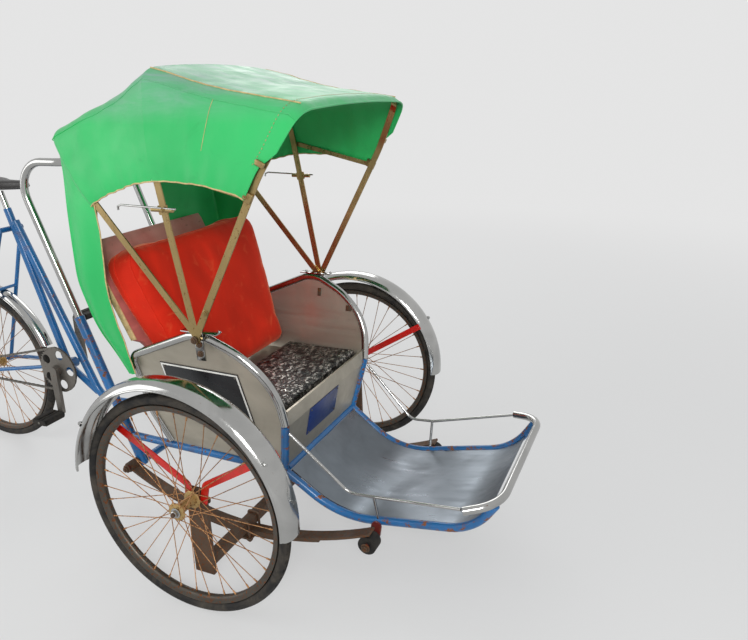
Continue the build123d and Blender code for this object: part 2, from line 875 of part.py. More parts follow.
# Brackets that hold the pins against the arm rails
bracket_low = 668
with BuildPart() as hood_brackets:
    for sign in (-1, 1):
        add(flat_bar(
            at(pivot_x + 2, sign * bracket_y, bracket_low),
            at(pivot_x - 2, sign * bracket_y, pivot_z + 16),
            bracket_thickness,
            30,
            (0, 1, 0),
        ))
save(hood_brackets.part, "hood_brackets")

# Hood cloth: a rear half and a front half that meet over the middle bow
cloth_rows = (
    # name, first bow, second bow
    ("hood_cloth_rear", "rear_bow", "middle_bow"),
    ("hood_cloth_front", "middle_bow", "front_bow"),
)


def cloth_face(bow_name):
    angle, layer, corner_half, corner_radius, skirt = bow_rows[bow_name]
    with BuildSketch(bow_plane(angle)) as face:
        with BuildLine():
            FilletPolyline(
                *bow_path(cloth_half_width, skirt, corner_half + 16, corner_radius, cloth_lift),
                radius=(20, bow_corner_bend, 500, bow_corner_bend, 20),
            )
        trace(line_width=cloth_thickness)
    return face.sketch


for name, first, second in cloth_rows:
    with BuildPart() as cloth:
        add(cloth_face(first))
        add(cloth_face(second))
        loft(ruled=True)
    save(cloth.part, name)

# Rear curtain: two tails that leave an open wedge between them
curtain_top = at(curtain_top_x, 0, curtain_top_z)
curtain_fall = at(curtain_foot_x, 0, curtain_foot_z) - curtain_top
curtain_plane = Plane(origin=curtain_top, x_dir=(0, 1, 0), z_dir=Vector(0, 1, 0).cross(curtain_fall))
curtain_length = curtain_fall.length
with BuildPart() as rear_curtain:
    with BuildSketch(curtain_plane):
        with BuildLine():
            Polyline(
                (-296, 0),
                (296, 0),
                (316, 0.66 * curtain_length),
                (262, curtain_length),
                (182, 0.97 * curtain_length),
                (196, 0.34 * curtain_length),
                (0, 0.14 * curtain_length),
                (-196, 0.34 * curtain_length),
                (-182, 0.97 * curtain_length),
                (-262, curtain_length),
                (-316, 0.66 * curtain_length),
                close=True,
            )
        make_face()
    extrude(amount=cloth_thickness / 2, both=True)
save(rear_curtain.part, "rear_curtain")

# Handlebar: one hoop that rises out of the rear posts
leg_foot_z = rear_post_head_z + seat_gap
hoop_rear_x = rear_post_x(hoop_rear_z)
with BuildPart() as handlebar:
    legs = []
    for sign in (-1, 1):
        legs.append((
            at(rear_post_x(leg_foot_z), sign * rear_post_half_width, leg_foot_z),
            at(hoop_rear_x, sign * rear_post_half_width, hoop_rear_z),
            at(hoop_rear_x + 40, sign * rear_post_half_width, hoop_top_z - 12),
            at(hoop_cross_x, sign * rear_post_half_width, hoop_top_z),
        ))
    hoop_points = (*legs[0], *reversed(legs[1]))
    add(bent_tube(hoop_points, (40, 50, 55, 55, 50, 40), bar_hoop_tube))
save(handlebar.part, "handlebar")

# Driver's frame
head_low_z = plate_z + plate_thickness + 10
head_high_z = upper_cross_z - frame_tube / 2 - 10
head_middle_z = (head_low_z + head_high_z) / 2
crank_centre = at(crank_x, 0, crank_z)
seat_tube_head = at(seat_tube_head_x, 0, seat_tube_head_z)
shell_radius = 20
shell_half = 34
with BuildPart() as rear_frame:
    add(rod(at(pin_x, 0, head_low_z), at(pin_x, 0, head_high_z), 2 * head_radius))
    main_points = (
        at(pin_x - 4, 0, head_middle_z),
        at(main_bend_x, 0, main_bend_z),
        at(main_head_x, 0, main_head_z),
    )
    add(bent_tube(main_points, 90, main_tube))
    add(rod(crank_centre, seat_tube_head, seat_tube))
    add(rod(crank_centre, at(brace_foot_x, 0, brace_foot_z), frame_tube))
    shell_end = Vector(0, shell_half, 0)
    add(rod(crank_centre - shell_end, crank_centre + shell_end, 2 * shell_radius))
    with BuildSketch(Plane(origin=crank_centre - Vector(0, shell_half, 0), z_dir=(0, 1, 0))):
        Circle(spindle_radius + bearing_gap)
    extrude(amount=2 * shell_half, mode=Mode.SUBTRACT)
    with BuildSketch(Plane.XY.offset(head_low_z)):
        with Locations(at(pin_x, 0, 0)):
            Circle(pin_tube_radius + bearing_gap)
    extrude(amount=head_high_z - head_low_z, mode=Mode.SUBTRACT)
save(rear_frame.part, "rear_frame")

# Stays that carry the rear wheel
rear_centre = at(-wheelbase, 0, wheel_radius)
yoke_radius = 10
yoke = crank_centre + Vector(-(shell_radius + yoke_radius + seat_gap), 0, 0)
stay_run = rear_centre - yoke
tube_run = (seat_tube_head - crank_centre).normalized()
behind = Vector(-tube_run.Z, 0, tube_run.X)
stay_head = crank_centre + tube_run * 560 + behind * (seat_tube / 2 + yoke_radius + seat_gap)
with BuildPart() as rear_stays:
    add(rod(yoke - Vector(0, 44, 0), yoke + Vector(0, 44, 0), 2 * yoke_radius))
    add(rod(stay_head - Vector(0, 50, 0), stay_head + Vector(0, 50, 0), 2 * yoke_radius))
    for sign in (-1, 1):
        chain_stay = (
            yoke + Vector(0, sign * 37, 0),
            yoke + stay_run * 0.173 + Vector(0, sign * 38, 0),
            yoke + stay_run * 0.7 + Vector(0, sign * axle_stay_half, 0),
            rear_centre + Vector(0, sign * axle_stay_half, 0),
        )
        add(bent_tube(chain_stay, (80, 80), stay_tube))
        seat_stay = (
            stay_head + Vector(0, sign * 44, 0),
            rear_centre + Vector(0, sign * axle_stay_half, 0),
        )
        add(rod(seat_stay[0], seat_stay[1], stay_tube))
    half_axle = Vector(0, axle_stay_half, 0)
    add(rod(rear_centre - half_axle, rear_centre + half_axle, 2 * rear_axle_radius))
    for sign in (-1, 1):
        add(rod(
            rear_centre + Vector(0, sign * (chain_half_track + 6), 0),
            rear_centre + Vector(0, sign * (axle_stay_half + 8), 0),
            26,
        ))
    stay_angle = atan2(stay_head.Z - rear_centre.Z, stay_head.X - rear_centre.X)
    bridge = rear_centre + Vector(cos(stay_angle), 0, sin(stay_angle)) * (rear_guard_radius + 6 + seat_gap)
    add(rod(bridge - Vector(0, 52, 0), bridge + Vector(0, 52, 0), 12))
save(rear_stays.part, "rear_stays")

# Rear mudguard
rear_guard_section = (
    (rear_guard_radius - rear_guard_depth, -rear_guard_half_width),
    (rear_guard_radius - 5, -rear_guard_half_width + 4),
    (rear_guard_radius, -10),
    (rear_guard_radius, 10),
    (rear_guard_radius - 5, rear_guard_half_width - 4),
    (rear_guard_radius - rear_guard_depth, rear_guard_half_width),
    (rear_guard_radius - rear_guard_depth, rear_guard_half_width - guard_sheet),
    (rear_guard_radius - 5 - guard_sheet, rear_guard_half_width - 4 - guard_sheet),
    (rear_guard_radius - guard_sheet, 9.5),
    (rear_guard_radius - guard_sheet, -9.5),
    (rear_guard_radius - 5 - guard_sheet, -rear_guard_half_width + 4 + guard_sheet),
    (rear_guard_radius - rear_guard_depth, -rear_guard_half_width + guard_sheet),
)
with BuildPart() as rear_mudguard:
    add(turned(rear_guard_section, rear_centre, 20, 180))
    add(rolled_edges(rear_centre, rear_guard_radius - rear_guard_depth, rear_guard_half_width, 20, 180))
save(rear_mudguard.part, "rear_mudguard")

# Saddle on its post
post_run = tube_run * 66
with BuildPart() as seat_post:
    add(rod(seat_tube_head, seat_tube_head + post_run, 22))
save(seat_post.part, "seat_post")
saddle_x = seat_tube_head.X + post_run.X
saddle_foot_z = seat_tube_head.Z + post_run.Z + 3.4
with BuildPart() as saddle:
    with BuildSketch(Plane.XY.offset(saddle_foot_z)):
        with BuildLine():
            FilletPolyline(
                (saddle_x + saddle_nose, -20),
                (saddle_x + saddle_nose, 20),
                (saddle_x + 10, 34),
                (saddle_x - 60, saddle_half_width),
                (saddle_x - saddle_tail, saddle_half_width),
                (saddle_x - saddle_tail, -saddle_half_width),
                (saddle_x - 60, -saddle_half_width),
                (saddle_x + 10, -34),
                radius=(15, 15, 40, 25, 25, 25, 25, 40),
                close=True,
            )
        make_face()
    extrude(amount=saddle_height)
save(saddle.part, "saddle")

# Chain, chainring and cranks
ring_radius = chain_pitch / 2 / sin(radians(180 / chainring_teeth))
cog_radius = chain_pitch / 2 / sin(radians(180 / sprocket_teeth))
drive_plane = Plane(origin=at(0, -chain_half_track, 0), x_dir=(1, 0, 0), z_dir=(0, -1, 0))
with BuildPart() as chain:
    for shift, mode in ((chain_height / 2, Mode.ADD), (-chain_height / 2, Mode.SUBTRACT)):
        with BuildSketch(drive_plane):
            with Locations((crank_x, crank_z)):
                Circle(ring_radius + shift + tooth_gap)
            with Locations((-wheelbase, wheel_radius)):
                Circle(cog_radius + shift + tooth_gap)
            make_hull()
        extrude(amount=chain_width / 2, both=True, mode=mode)
save(chain.part, "chain")

arm_y = chain_half_track + 18
with BuildPart() as crankset:
    ring_middle = at(crank_x, -chain_half_track, crank_z)
    with BuildSketch(Plane(origin=ring_middle, x_dir=(1, 0, 0), z_dir=(0, -1, 0))):
        Circle(ring_radius - chain_height / 2)
        with PolarLocations(ring_radius - 26, 5):
            Circle(19, mode=Mode.SUBTRACT)
    extrude(amount=1.5, both=True)
    spindle_end = Vector(0, arm_y + 5, 0)
    add(rod(crank_centre - spindle_end, crank_centre + spindle_end, 2 * spindle_radius))
    add(rod(crank_centre - Vector(0, arm_y, 0), crank_centre - Vector(0, chain_half_track, 0), 40))
    for sign in (-1, 1):
        end = crank_centre + Vector(0, sign * arm_y, sign * crank_length)
        arm_middle = crank_centre + Vector(0, sign * arm_y, 0)
        with BuildSketch(Plane(origin=arm_middle, x_dir=(1, 0, 0), z_dir=(0, 1, 0))):
            Circle(crank_boss)
            with Locations((0, -sign * crank_length)):
                Circle(crank_eye)
            make_hull()
        extrude(amount=crank_arm_thickness / 2, both=True)
        add(rod(end, end + Vector(0, sign * 110, 0), pedal_spindle))
save(crankset.part, "crankset")

for side, sign in sides:
    centre = crank_centre + Vector(0, sign * (arm_y + 62), sign * crank_length)
    with BuildPart() as pedal:
        pedal_plane = Plane(origin=centre, x_dir=(1, 0, 0), z_dir=(0, 1, 0))
        with BuildSketch(pedal_plane):
            Circle(pedal_barrel / 2)
        extrude(amount=pedal_width / 2, both=True)
        with BuildSketch(pedal_plane):
            with GridLocations(pedal_depth - pedal_block, 0, 2, 1):
                RectangleRounded(pedal_block, pedal_height, pedal_block / 4)
        extrude(amount=pedal_width / 2 - pedal_end_plate, both=True)
        for end in (-1, 1):
            plate_middle = centre + Vector(0, end * (pedal_width - pedal_end_plate) / 2, 0)
            with BuildSketch(Plane(origin=plate_middle, x_dir=(1, 0, 0), z_dir=(0, 1, 0))):
                RectangleRounded(pedal_depth - 4, pedal_height - 4, 8)
            extrude(amount=pedal_end_plate / 2, both=True)
        with BuildSketch(pedal_plane):
            Circle(pedal_spindle / 2 + bearing_gap)
        extrude(amount=pedal_width, both=True, mode=Mode.SUBTRACT)
    save(pedal.part, f"pedal_{side}")
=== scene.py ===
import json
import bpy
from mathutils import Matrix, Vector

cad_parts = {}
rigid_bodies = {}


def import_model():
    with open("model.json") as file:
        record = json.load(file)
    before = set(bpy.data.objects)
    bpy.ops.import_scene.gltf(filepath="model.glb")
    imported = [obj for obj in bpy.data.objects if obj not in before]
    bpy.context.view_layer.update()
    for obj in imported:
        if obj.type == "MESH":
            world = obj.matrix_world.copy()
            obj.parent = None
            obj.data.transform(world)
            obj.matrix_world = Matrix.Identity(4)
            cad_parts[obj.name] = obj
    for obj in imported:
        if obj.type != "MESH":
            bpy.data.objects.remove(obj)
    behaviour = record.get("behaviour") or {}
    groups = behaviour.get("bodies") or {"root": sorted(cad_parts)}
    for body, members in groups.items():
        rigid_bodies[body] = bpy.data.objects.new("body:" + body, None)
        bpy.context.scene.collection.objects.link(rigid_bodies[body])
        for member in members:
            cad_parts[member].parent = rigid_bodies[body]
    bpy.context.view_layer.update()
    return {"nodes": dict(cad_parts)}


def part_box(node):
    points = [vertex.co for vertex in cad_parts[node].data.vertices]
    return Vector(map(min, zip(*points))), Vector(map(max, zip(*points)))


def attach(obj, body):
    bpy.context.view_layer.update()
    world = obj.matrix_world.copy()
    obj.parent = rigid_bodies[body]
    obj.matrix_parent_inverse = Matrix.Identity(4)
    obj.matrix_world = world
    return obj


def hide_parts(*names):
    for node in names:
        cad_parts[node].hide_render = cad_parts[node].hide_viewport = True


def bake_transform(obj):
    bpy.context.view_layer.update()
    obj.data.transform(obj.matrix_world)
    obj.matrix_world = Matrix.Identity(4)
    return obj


bl_info = {
    "name": "Cycle Rickshaw",
    "version": (1, 0, 0),
    "blender": (4, 5, 0),
    "location": "3D View > Sidebar > Rickshaw",
    "description": "Dresses the packed frame of a cycle rickshaw with detailed pieces and finishes",
    "category": "Add Mesh",
}

from functools import partial
from math import acos, atan2, cos, pi, radians, sin, tan

import bpy
from mathutils import Matrix, Vector, noise

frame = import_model()
nodes = frame["nodes"]
tyre_low, tyre_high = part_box("tyre_right")
front_axle_x = (tyre_low.x + tyre_high.x) / 2

# Shared places in mm: x forward of the front axle, y to the left, z above the floor
track_half = 555
axle_z = 330
rear_axle_x = -1430
guard_x, guard_z = -6, 350
pivot_x, pivot_z = -54, 735
post_foot_x, post_foot_y, post_foot_z = 119, 236, 286
post_head_x, post_head_z = 158, 463
side_flare = 0.225
frame_tube_radius = 12.5


def at(x, y, z):
    """A point in metres from millimetres, its x measured from the front axle."""
    return Vector((front_axle_x + x / 1000, y / 1000, z / 1000))


def on_side(x, z, sign, out=0.0):
    """A point on the carriage's leaning side plane, or out from it."""
    return at(x, sign * (post_foot_y + side_flare * (z - post_foot_z) + out), z)


def around(centre, angle, reach, across=0.0):
    """A point at an angle and a reach round a crosswise axis, in metres."""
    return centre + Vector((reach * cos(angle), across, reach * sin(angle)))


def clamped(value):
    return min(1, max(0, value))


def shade(code):
    """A linear colour from a hex code."""
    parts = [int(code[i:i + 2], 16) / 255 for i in (0, 2, 4)]
    return tuple(p / 12.92 if p <= 0.04045 else ((p + 0.055) / 1.055) ** 2.4 for p in parts)


def colour_property(name, text, code):
    return bpy.props.FloatVectorProperty(
        name=name, description=text, default=shade(code), size=3, min=0, max=1, subtype="COLOR"
    )


def length_property(name, text, millimetres):
    return bpy.props.FloatProperty(
        name=name, description=text, default=millimetres / 1000, min=0, unit="LENGTH", precision=4
    )


class RickshawColours(bpy.types.PropertyGroup):
    blue: colour_property("Blue paint", "Rails, posts and driver's frame", "146099")
    red: colour_property("Red paint", "Mudguard stays", "C8180E")
    green: colour_property("Hood cloth", "Coated green canvas", "28B861")
    cushion: colour_property("Back cushion", "Red-orange velour", "DE2A12")
    board: colour_property("Back board", "Faded maroon board", "B8675F")
    chrome: colour_property("Chrome", "Rails, guards and bars", "AFAFAD")
    stainless: colour_property("Stainless sheet", "Side panels and seat deck", "B4AD9E")
    gilt: colour_property("Hood bows", "Dull, yellowed plating", "A38D60")
    rust: colour_property("Rust", "Spokes, specks and chips", "8A4E22")
    rubber: colour_property("Rubber", "Tyres, rollers and pedals", "181716")
    sign: colour_property("Sign", "Blank sign on the right panel", "0B0E12")
    plate: colour_property("Plate", "Blank plate under the seat", "16316E")
    piping: colour_property("Piping", "Beige binding", "C9AE7C")


class RickshawSizes(bpy.types.PropertyGroup):
    wheel_radius: length_property("Wheel radius", "Floor to axle", axle_z)
    tyre_width: length_property("Tyre width", "Across the tyre", 36)
    rim_radius: length_property("Rim radius", "Outer edge of the rim", 297)
    spoke_radius: length_property("Spoke radius", "Round wire", 1.25)
    guard_sheet: length_property("Mudguard sheet", "Thickness of the pressed sheet", 1.6)
    guard_bead: length_property("Mudguard bead", "Radius of the rolled edge", 3.2)
    cloth: length_property("Hood cloth", "Thickness of the canvas", 1.6)
    cushion_cap: length_property("Back cushion crown", "How far the cushion may swell", 8)
    pad_cap: length_property("Seat pad crown", "How far the pad may swell", 4)


class Tree:
    """A node tree, with a short call for what the finishes and the world share."""

    def __init__(self, tree):
        self.tree = tree

    def plug(self, socket, value):
        if isinstance(value, bpy.types.NodeSocket):
            self.tree.links.new(value, socket)
        elif socket.type == "RGBA" and len(value) == 3:
            socket.default_value = (*value, 1)
        else:
            socket.default_value = value

    def add(self, kind, **inputs):
        made = self.tree.nodes.new(kind)
        for name, value in inputs.items():
            self.plug(made.inputs[name.replace("_", " ")], value)
        return made

    def math(self, operation, first, second):
        made = self.add("ShaderNodeMath")
        made.operation = operation
        self.plug(made.inputs[0], first)
        self.plug(made.inputs[1], second)
        return made.outputs["Value"]

    def seen(self):
        """1 for what the camera sees straight, in a mirror or through glass."""
        rays = self.add("ShaderNodeLightPath").outputs
        mirrored = self.math("MAXIMUM", rays["Is Camera Ray"], rays["Is Glossy Ray"])
        return self.math("MAXIMUM", mirrored, rays["Is Transmission Ray"])

    def show(self, factor, first, second, output):
        """Mixes two shaders by the factor, and plugs them into the output."""
        mixed = self.add("ShaderNodeMixShader", Fac=factor)
        for start, end in ((first, mixed.inputs[1]), (second, mixed.inputs[2]), (mixed, output.inputs[0])):
            self.tree.links.new(start.outputs[0], end)


class Finish(Tree):
    """One material and its nodes, laid on Object coordinates."""

    def __init__(self, name, colour, metallic=0.0, roughness=0.5, **sockets):
        self.material = bpy.data.materials.new(name)
        self.material.use_nodes = True
        super().__init__(self.material.node_tree)
        self.shader = self.tree.nodes["Principled BSDF"]
        self.place = self.tree.nodes.new("ShaderNodeTexCoord").outputs["Object"]
        sockets.update(Base_Color=colour, Metallic=metallic, Roughness=roughness)
        for socket, value in sockets.items():
            self.plug(self.shader.inputs[socket.replace("_", " ")], value)

    def lay(self, stretch, source=None):
        return self.add("ShaderNodeMapping", Vector=source or self.place, Scale=stretch).outputs["Vector"]

    def noise(self, scale, detail=4.0, stretch=(1, 1, 1), distortion=0.0, rough=0.5):
        field = self.add("ShaderNodeTexNoise", Vector=self.lay(stretch), Scale=scale, Detail=detail,
                         Distortion=distortion, Roughness=rough)
        return field.outputs["Fac"]

    def wave(self, scale, direction, distortion):
        field = self.add("ShaderNodeTexWave", Vector=self.place, Scale=scale, Distortion=distortion)
        field.bands_direction = direction
        return field.outputs["Fac"]

    def range(self, value, low, high, out_low=0.0, out_high=1.0):
        mapped = self.add("ShaderNodeMapRange", Value=value, From_Min=low, From_Max=high, To_Min=out_low,
                          To_Max=out_high)
        return mapped.outputs["Result"]

    def blend(self, factor, first, second):
        mixed = self.add("ShaderNodeMix")
        mixed.data_type = "RGBA"
        for index, value in ((0, factor), (6, first), (7, second)):
            self.plug(mixed.inputs[index], value)
        return mixed.outputs[2]

    def height(self):
        return self.add("ShaderNodeSeparateXYZ", Vector=self.place).outputs["Z"]

    def paint(self, colour):
        self.plug(self.shader.inputs["Base Color"], colour)

    def gloss(self, value):
        self.plug(self.shader.inputs["Roughness"], value)

    def bump(self, value, strength, distance):
        made = self.add("ShaderNodeBump", Height=value, Strength=strength, Distance=distance)
        normal = self.shader.inputs["Normal"]
        if normal.links:
            self.plug(made.inputs["Normal"], normal.links[0].from_socket)
        self.plug(normal, made.outputs["Normal"])


def tint(colour, factor):
    return tuple(min(1, c * factor) for c in colour[:3])


def paint_finish(name, colour, rust, wear):
    """Brushed-on gloss paint, faded in patches, chipped down to rust."""
    made = Finish(name, colour, roughness=0.35, Coat_Weight=0.25, Coat_Roughness=0.2)
    fade_and_highlight = made.range(made.noise(9, 5), 0.35, 0.7)
    body = made.blend(fade_and_highlight, tint(colour, 0.8), tint(colour, 1.25))
    dirt = made.range(made.noise(26, 6, distortion=0.6), 0.56, 0.72, 0, 0.35)
    body = made.blend(dirt, body, tint(rust, 0.45))
    chips = made.range(made.noise(38, 8, (1, 1, 1.4), 0.4, 0.68), wear, wear + 0.03)
    bare = made.blend(made.noise(90, 4), tint(rust, 0.35), tint(rust, 1.1))
    made.paint(made.blend(chips, body, bare))
    made.gloss(made.range(made.math("ADD", chips, dirt), 0, 1, 0.3, 0.75))
    made.bump(made.math("SUBTRACT", made.noise(160, 3), chips), 0.25, 0.0006)
    return made.material


def plated_finish(name, colour, rust, low, high, specks, grain=(1, 1, 1), metallic=1.0):
    """Plated or bare metal with smears, fine grain and rust specks."""
    made = Finish(name, colour, metallic=metallic, roughness=low)
    smear = made.noise(7, 6, distortion=0.8)
    body = made.blend(made.range(smear, 0.3, 0.75), tint(colour, 1.08), tint(colour, 0.8))
    spots = made.range(made.noise(120, 7, distortion=0.5, rough=0.7), specks, specks + 0.05)
    made.paint(made.blend(spots, body, tint(rust, 0.6)))
    streak = made.noise(55, 5, grain)
    made.gloss(made.range(made.math("ADD", smear, streak), 0.75, 1.35, low, high))
    made.bump(streak, 0.08, 0.0004)
    made.bump(made.noise(4, 2), 0.12, 0.004)
    return made.material


def cloth_finish(colour):
    """Coated canvas: a fine weave, a painted highlight in pale streaks on top, dusty creases."""
    made = Finish("green canvas", colour, Sheen_Weight=0.15, Sheen_Roughness=0.4, Specular_IOR_Level=0.45)
    # A painted highlight: the canvas is painted paler, in streaks, towards the top of the hood, by height alone.
    painted_top_highlight = (0.235, 0.40, 0.33)
    mottled = made.range(made.noise(3.2, 6, distortion=0.5), 0.3, 0.72)
    body = made.blend(mottled, tint(colour, 0.86), tint(colour, 1.1))
    highlight_streaks = made.range(made.noise(26, 7, (0.16, 1, 1), 0.4, 0.66), 0.46, 0.66, 0, 0.5)
    # Lighter by height: this is where the painted highlight falls.
    high = made.range(made.height(), 1.31, 1.41)
    fade_and_highlight = made.math("MULTIPLY", high, made.math("ADD", highlight_streaks, 0.42))
    grime = made.range(made.noise(11, 8, distortion=1.2, rough=0.65), 0.6, 0.8, 0, 0.3)
    made.paint(made.blend(grime, made.blend(fade_and_highlight, body, painted_top_highlight), tint(colour, 0.32)))
    made.gloss(made.range(made.noise(14, 4), 0.3, 0.7, 0.4, 0.62))
    weave = made.math("MULTIPLY", made.wave(420, "X", 0.6), made.wave(420, "Z", 0.6))
    made.bump(weave, 0.18, 0.0005)
    made.bump(made.noise(8, 5, distortion=1.0), 0.35, 0.006)
    return made.material


def velour_finish(colour):
    """Short-pile velour whose nap lies lighter and darker in patches."""
    made = Finish("red velour", colour, roughness=0.85, Sheen_Weight=0.65, Sheen_Roughness=0.35,
                  Sheen_Tint=(1.0, 0.45, 0.25), Specular_IOR_Level=0.2)
    worn_pile = (0.9, 0.17, 0.06)
    nap = made.range(made.noise(6, 6, (1, 1, 0.5), 1.1), 0.32, 0.7)
    body = made.blend(nap, tint(colour, 0.78), tint(colour, 1.12))
    rubbed = made.range(made.noise(22, 7, distortion=0.8), 0.6, 0.78, 0, 0.35)
    made.paint(made.blend(rubbed, body, worn_pile))
    made.bump(made.noise(900, 3), 0.35, 0.0012)
    made.bump(made.noise(17, 4), 0.12, 0.003)
    return made.material


def foil_finish():
    """Crinkled silvery sheeting, with painted shade, near black, in the grooves between its ridges."""
    made = Finish("crinkled seat cover", (0.2, 0.2, 0.2), metallic=0.75, roughness=0.3)
    # The near-black groove colour is painted shade, laid where the bump sinks between the ridges.
    groove, dull, silver = (0.012, 0.012, 0.013), (0.16, 0.155, 0.145), (0.62, 0.6, 0.55)
    warp = made.add("ShaderNodeTexNoise", Vector=made.place, Scale=30.0, Detail=3.0).outputs["Color"]
    bent = made.lay((1.25, 0.55, 1), made.blend(0.06, made.place, warp))
    cells = made.add("ShaderNodeTexVoronoi", Vector=bent)
    cells.feature = "DISTANCE_TO_EDGE"
    cells.inputs["Scale"].default_value = 62
    worms = made.range(cells.outputs["Distance"], 0.03, 0.2)
    tone = made.range(made.noise(70, 4, (1.2, 0.5, 1)), 0.35, 0.62)
    light = made.blend(tone, dull, silver)
    made.paint(made.blend(made.math("MULTIPLY", worms, tone), groove, light))
    made.gloss(made.range(made.noise(40, 5), 0.3, 0.7, 0.2, 0.5))
    made.bump(worms, 0.8, 0.0022)
    made.bump(made.noise(150, 3), 0.3, 0.001)
    return made.material


def rubber_finish(name, colour, dust):
    """Weathered rubber with road dust in its low places."""
    made = Finish(name, colour, roughness=0.8, Specular_IOR_Level=0.3)
    road_dust = (0.16, 0.135, 0.105)
    dusty = made.range(made.noise(16, 8, distortion=0.7, rough=0.62), 0.42, 0.75, 0, dust)
    body = made.blend(made.noise(5, 3), tint(colour, 0.7), tint(colour, 1.5))
    made.paint(made.blend(dusty, body, road_dust))
    made.gloss(made.range(dusty, 0, dust, 0.62, 0.92))
    made.bump(made.noise(210, 4), 0.3, 0.0008)
    return made.material


def board_finish(colour):
    """Painted board, with painted sunlight making it pinker towards its top, and scuffed."""
    made = Finish("painted board", colour, roughness=0.55)
    # The pale pink towards the top, in patches, is painted sunlight. The dark scuffs are wear.
    painted_sunlit_pink, scuffed = (0.72, 0.42, 0.36), (0.12, 0.05, 0.045)
    grain = made.noise(30, 6, (1, 0.12, 1), 0.4)
    body = made.blend(made.range(grain, 0.3, 0.7), tint(colour, 0.82), tint(colour, 1.15))
    # The higher up the board, the more painted sunlight.
    high = made.range(made.height(), 0.84, 0.99, 0, 0.6)
    sunlit_patches = made.math("MULTIPLY", high, made.range(made.noise(9, 6), 0.25, 0.6))
    scuffs = made.range(made.noise(60, 8, (1, 0.4, 1), rough=0.7), 0.62, 0.7, 0, 0.7)
    made.paint(made.blend(scuffs, made.blend(sunlit_patches, body, painted_sunlit_pink), scuffed))
    made.gloss(made.range(grain, 0.3, 0.7, 0.42, 0.7))
    made.bump(grain, 0.2, 0.0008)
    return made.material


def plain_finish(name, colour, roughness, grain, depth):
    """A small part's finish: mottled colour, uneven gloss and a fine grain."""
    made = Finish(name, colour, roughness=roughness)
    patches = made.range(made.noise(grain / 8, 5, distortion=0.5), 0.3, 0.7)
    made.paint(made.blend(patches, tint(colour, 0.72), tint(colour, 1.2)))
    made.gloss(made.range(made.noise(grain / 3, 5), 0.3, 0.7, roughness * 0.8, min(1, roughness * 1.25)))
    made.bump(made.noise(grain, 4), 0.3, depth)
    return made.material


finishes = {}


def let_go():
    """Leaves edit mode and selects nothing."""
    if bpy.context.object and bpy.context.object.mode != "OBJECT":
        bpy.ops.object.mode_set(mode="OBJECT")
    bpy.ops.object.select_all(action="DESELECT")


def take(piece):
    let_go()
    piece.select_set(True)
    bpy.context.view_layer.objects.active = piece
    return piece


def enter():
    bpy.ops.object.mode_set(mode="EDIT")


def leave():
    bpy.ops.object.mode_set(mode="OBJECT")


def edit(piece, pick="SELECT", mode="VERT"):
    take(piece)
    enter()
    bpy.ops.mesh.select_mode(type=mode)
    bpy.ops.mesh.select_all(action=pick)


def edit_faces(piece, wanted):
    """Edits a piece with the wanted faces picked."""
    edit(piece, "DESELECT", "FACE")
    leave()
    for face in piece.data.polygons:
        face.select = wanted(face)
    enter()


def cap_ends():
    """Fills the open ends of the mesh that is being edited."""
    bpy.ops.mesh.select_all(action="DESELECT")
    bpy.ops.mesh.select_non_manifold(extend=False)
    bpy.ops.mesh.fill_holes(sides=0)


def face_out():
    """Turns all faces of the mesh that is being edited outward, and leaves it."""
    bpy.ops.mesh.select_all(action="SELECT")
    bpy.ops.mesh.normals_make_consistent(inside=False)
    leave()


def tidy_normals(piece, merge=0.00001):
    edit(piece)
    bpy.ops.mesh.remove_doubles(threshold=merge)
    face_out()
    return piece


def settle(piece):
    """Moves the object's place, turn and scale into its mesh."""
    take(piece)
    bpy.ops.object.transform_apply(location=True, rotation=True, scale=True)
    return piece


def modify(piece, kind, **settings):
    take(piece)
    bpy.ops.object.modifier_add(type=kind)
    for name, value in settings.items():
        setattr(piece.modifiers[-1], name, value)
    return piece.modifiers[-1]


def apply_all(piece):
    take(piece)
    for modifier in list(piece.modifiers):
        bpy.ops.object.modifier_apply(modifier=modifier.name)
    return piece


def rounded(piece, width, segments=2):
    """Bevels the edges of a piece, the width in mm."""
    modify(piece, "BEVEL", width=width / 1000, segments=segments, limit_method="ANGLE")
    return apply_all(piece)


def thicken(piece, thickness, levels):
    if levels:
        modify(piece, "SUBSURF", levels=levels, render_levels=levels)
    modify(piece, "SOLIDIFY", thickness=thickness, offset=0)
    return apply_all(piece)


def dress(piece, name, body, finish, smooth=40):
    """Names a finished piece, gives it its finish and sets it on its body."""
    settle(piece)
    piece.name = name
    piece.data.name = name
    piece.data.materials.clear()
    piece.data.materials.append(finishes[finish])
    bpy.ops.object.shade_smooth_by_angle(angle=radians(smooth))
    if body:
        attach(piece, body)
    return piece


def join(pieces):
    let_go()
    for piece in pieces:
        piece.select_set(True)
    bpy.context.view_layer.objects.active = pieces[0]
    if len(pieces) > 1:
        bpy.ops.object.join()
    return bpy.context.object


def ring_through(places, fill="NOTHING"):
    """A closed ring of edges, or one face, through the places."""
    let_go()
    bpy.ops.mesh.primitive_circle_add(vertices=len(places), fill_type=fill)
    ring = bpy.context.object
    for vertex, place in zip(ring.data.vertices, places):
        vertex.co = place
    return ring


def extrude_to(piece, before, after):
    """Extrudes the picked ring and sets each of its points on the next ring."""
    shift = after[0] - before[0]
    bpy.ops.mesh.extrude_region_move(TRANSFORM_OT_translate={"value": shift})
    leave()
    for vertex in piece.data.vertices:
        if vertex.select:
            nearest = min(range(len(before)), key=lambda i: (before[i] + shift - vertex.co).length)
            vertex.co = after[nearest]


def block(front, back):
    """A closed block between two outlines with the same number of corners, in metres."""
    made = ring_through(front, "NGON")
    edit(made)
    extrude_to(made, front, back)
    return tidy_normals(made)


def lofted(rings):
    """A closed form through rings that have the same number of points."""
    piece = ring_through(rings[0])
    edit(piece)
    for before, after in zip(rings, rings[1:]):
        extrude_to(piece, before, after)
        enter()
    cap_ends()
    leave()
    return tidy_normals(piece)


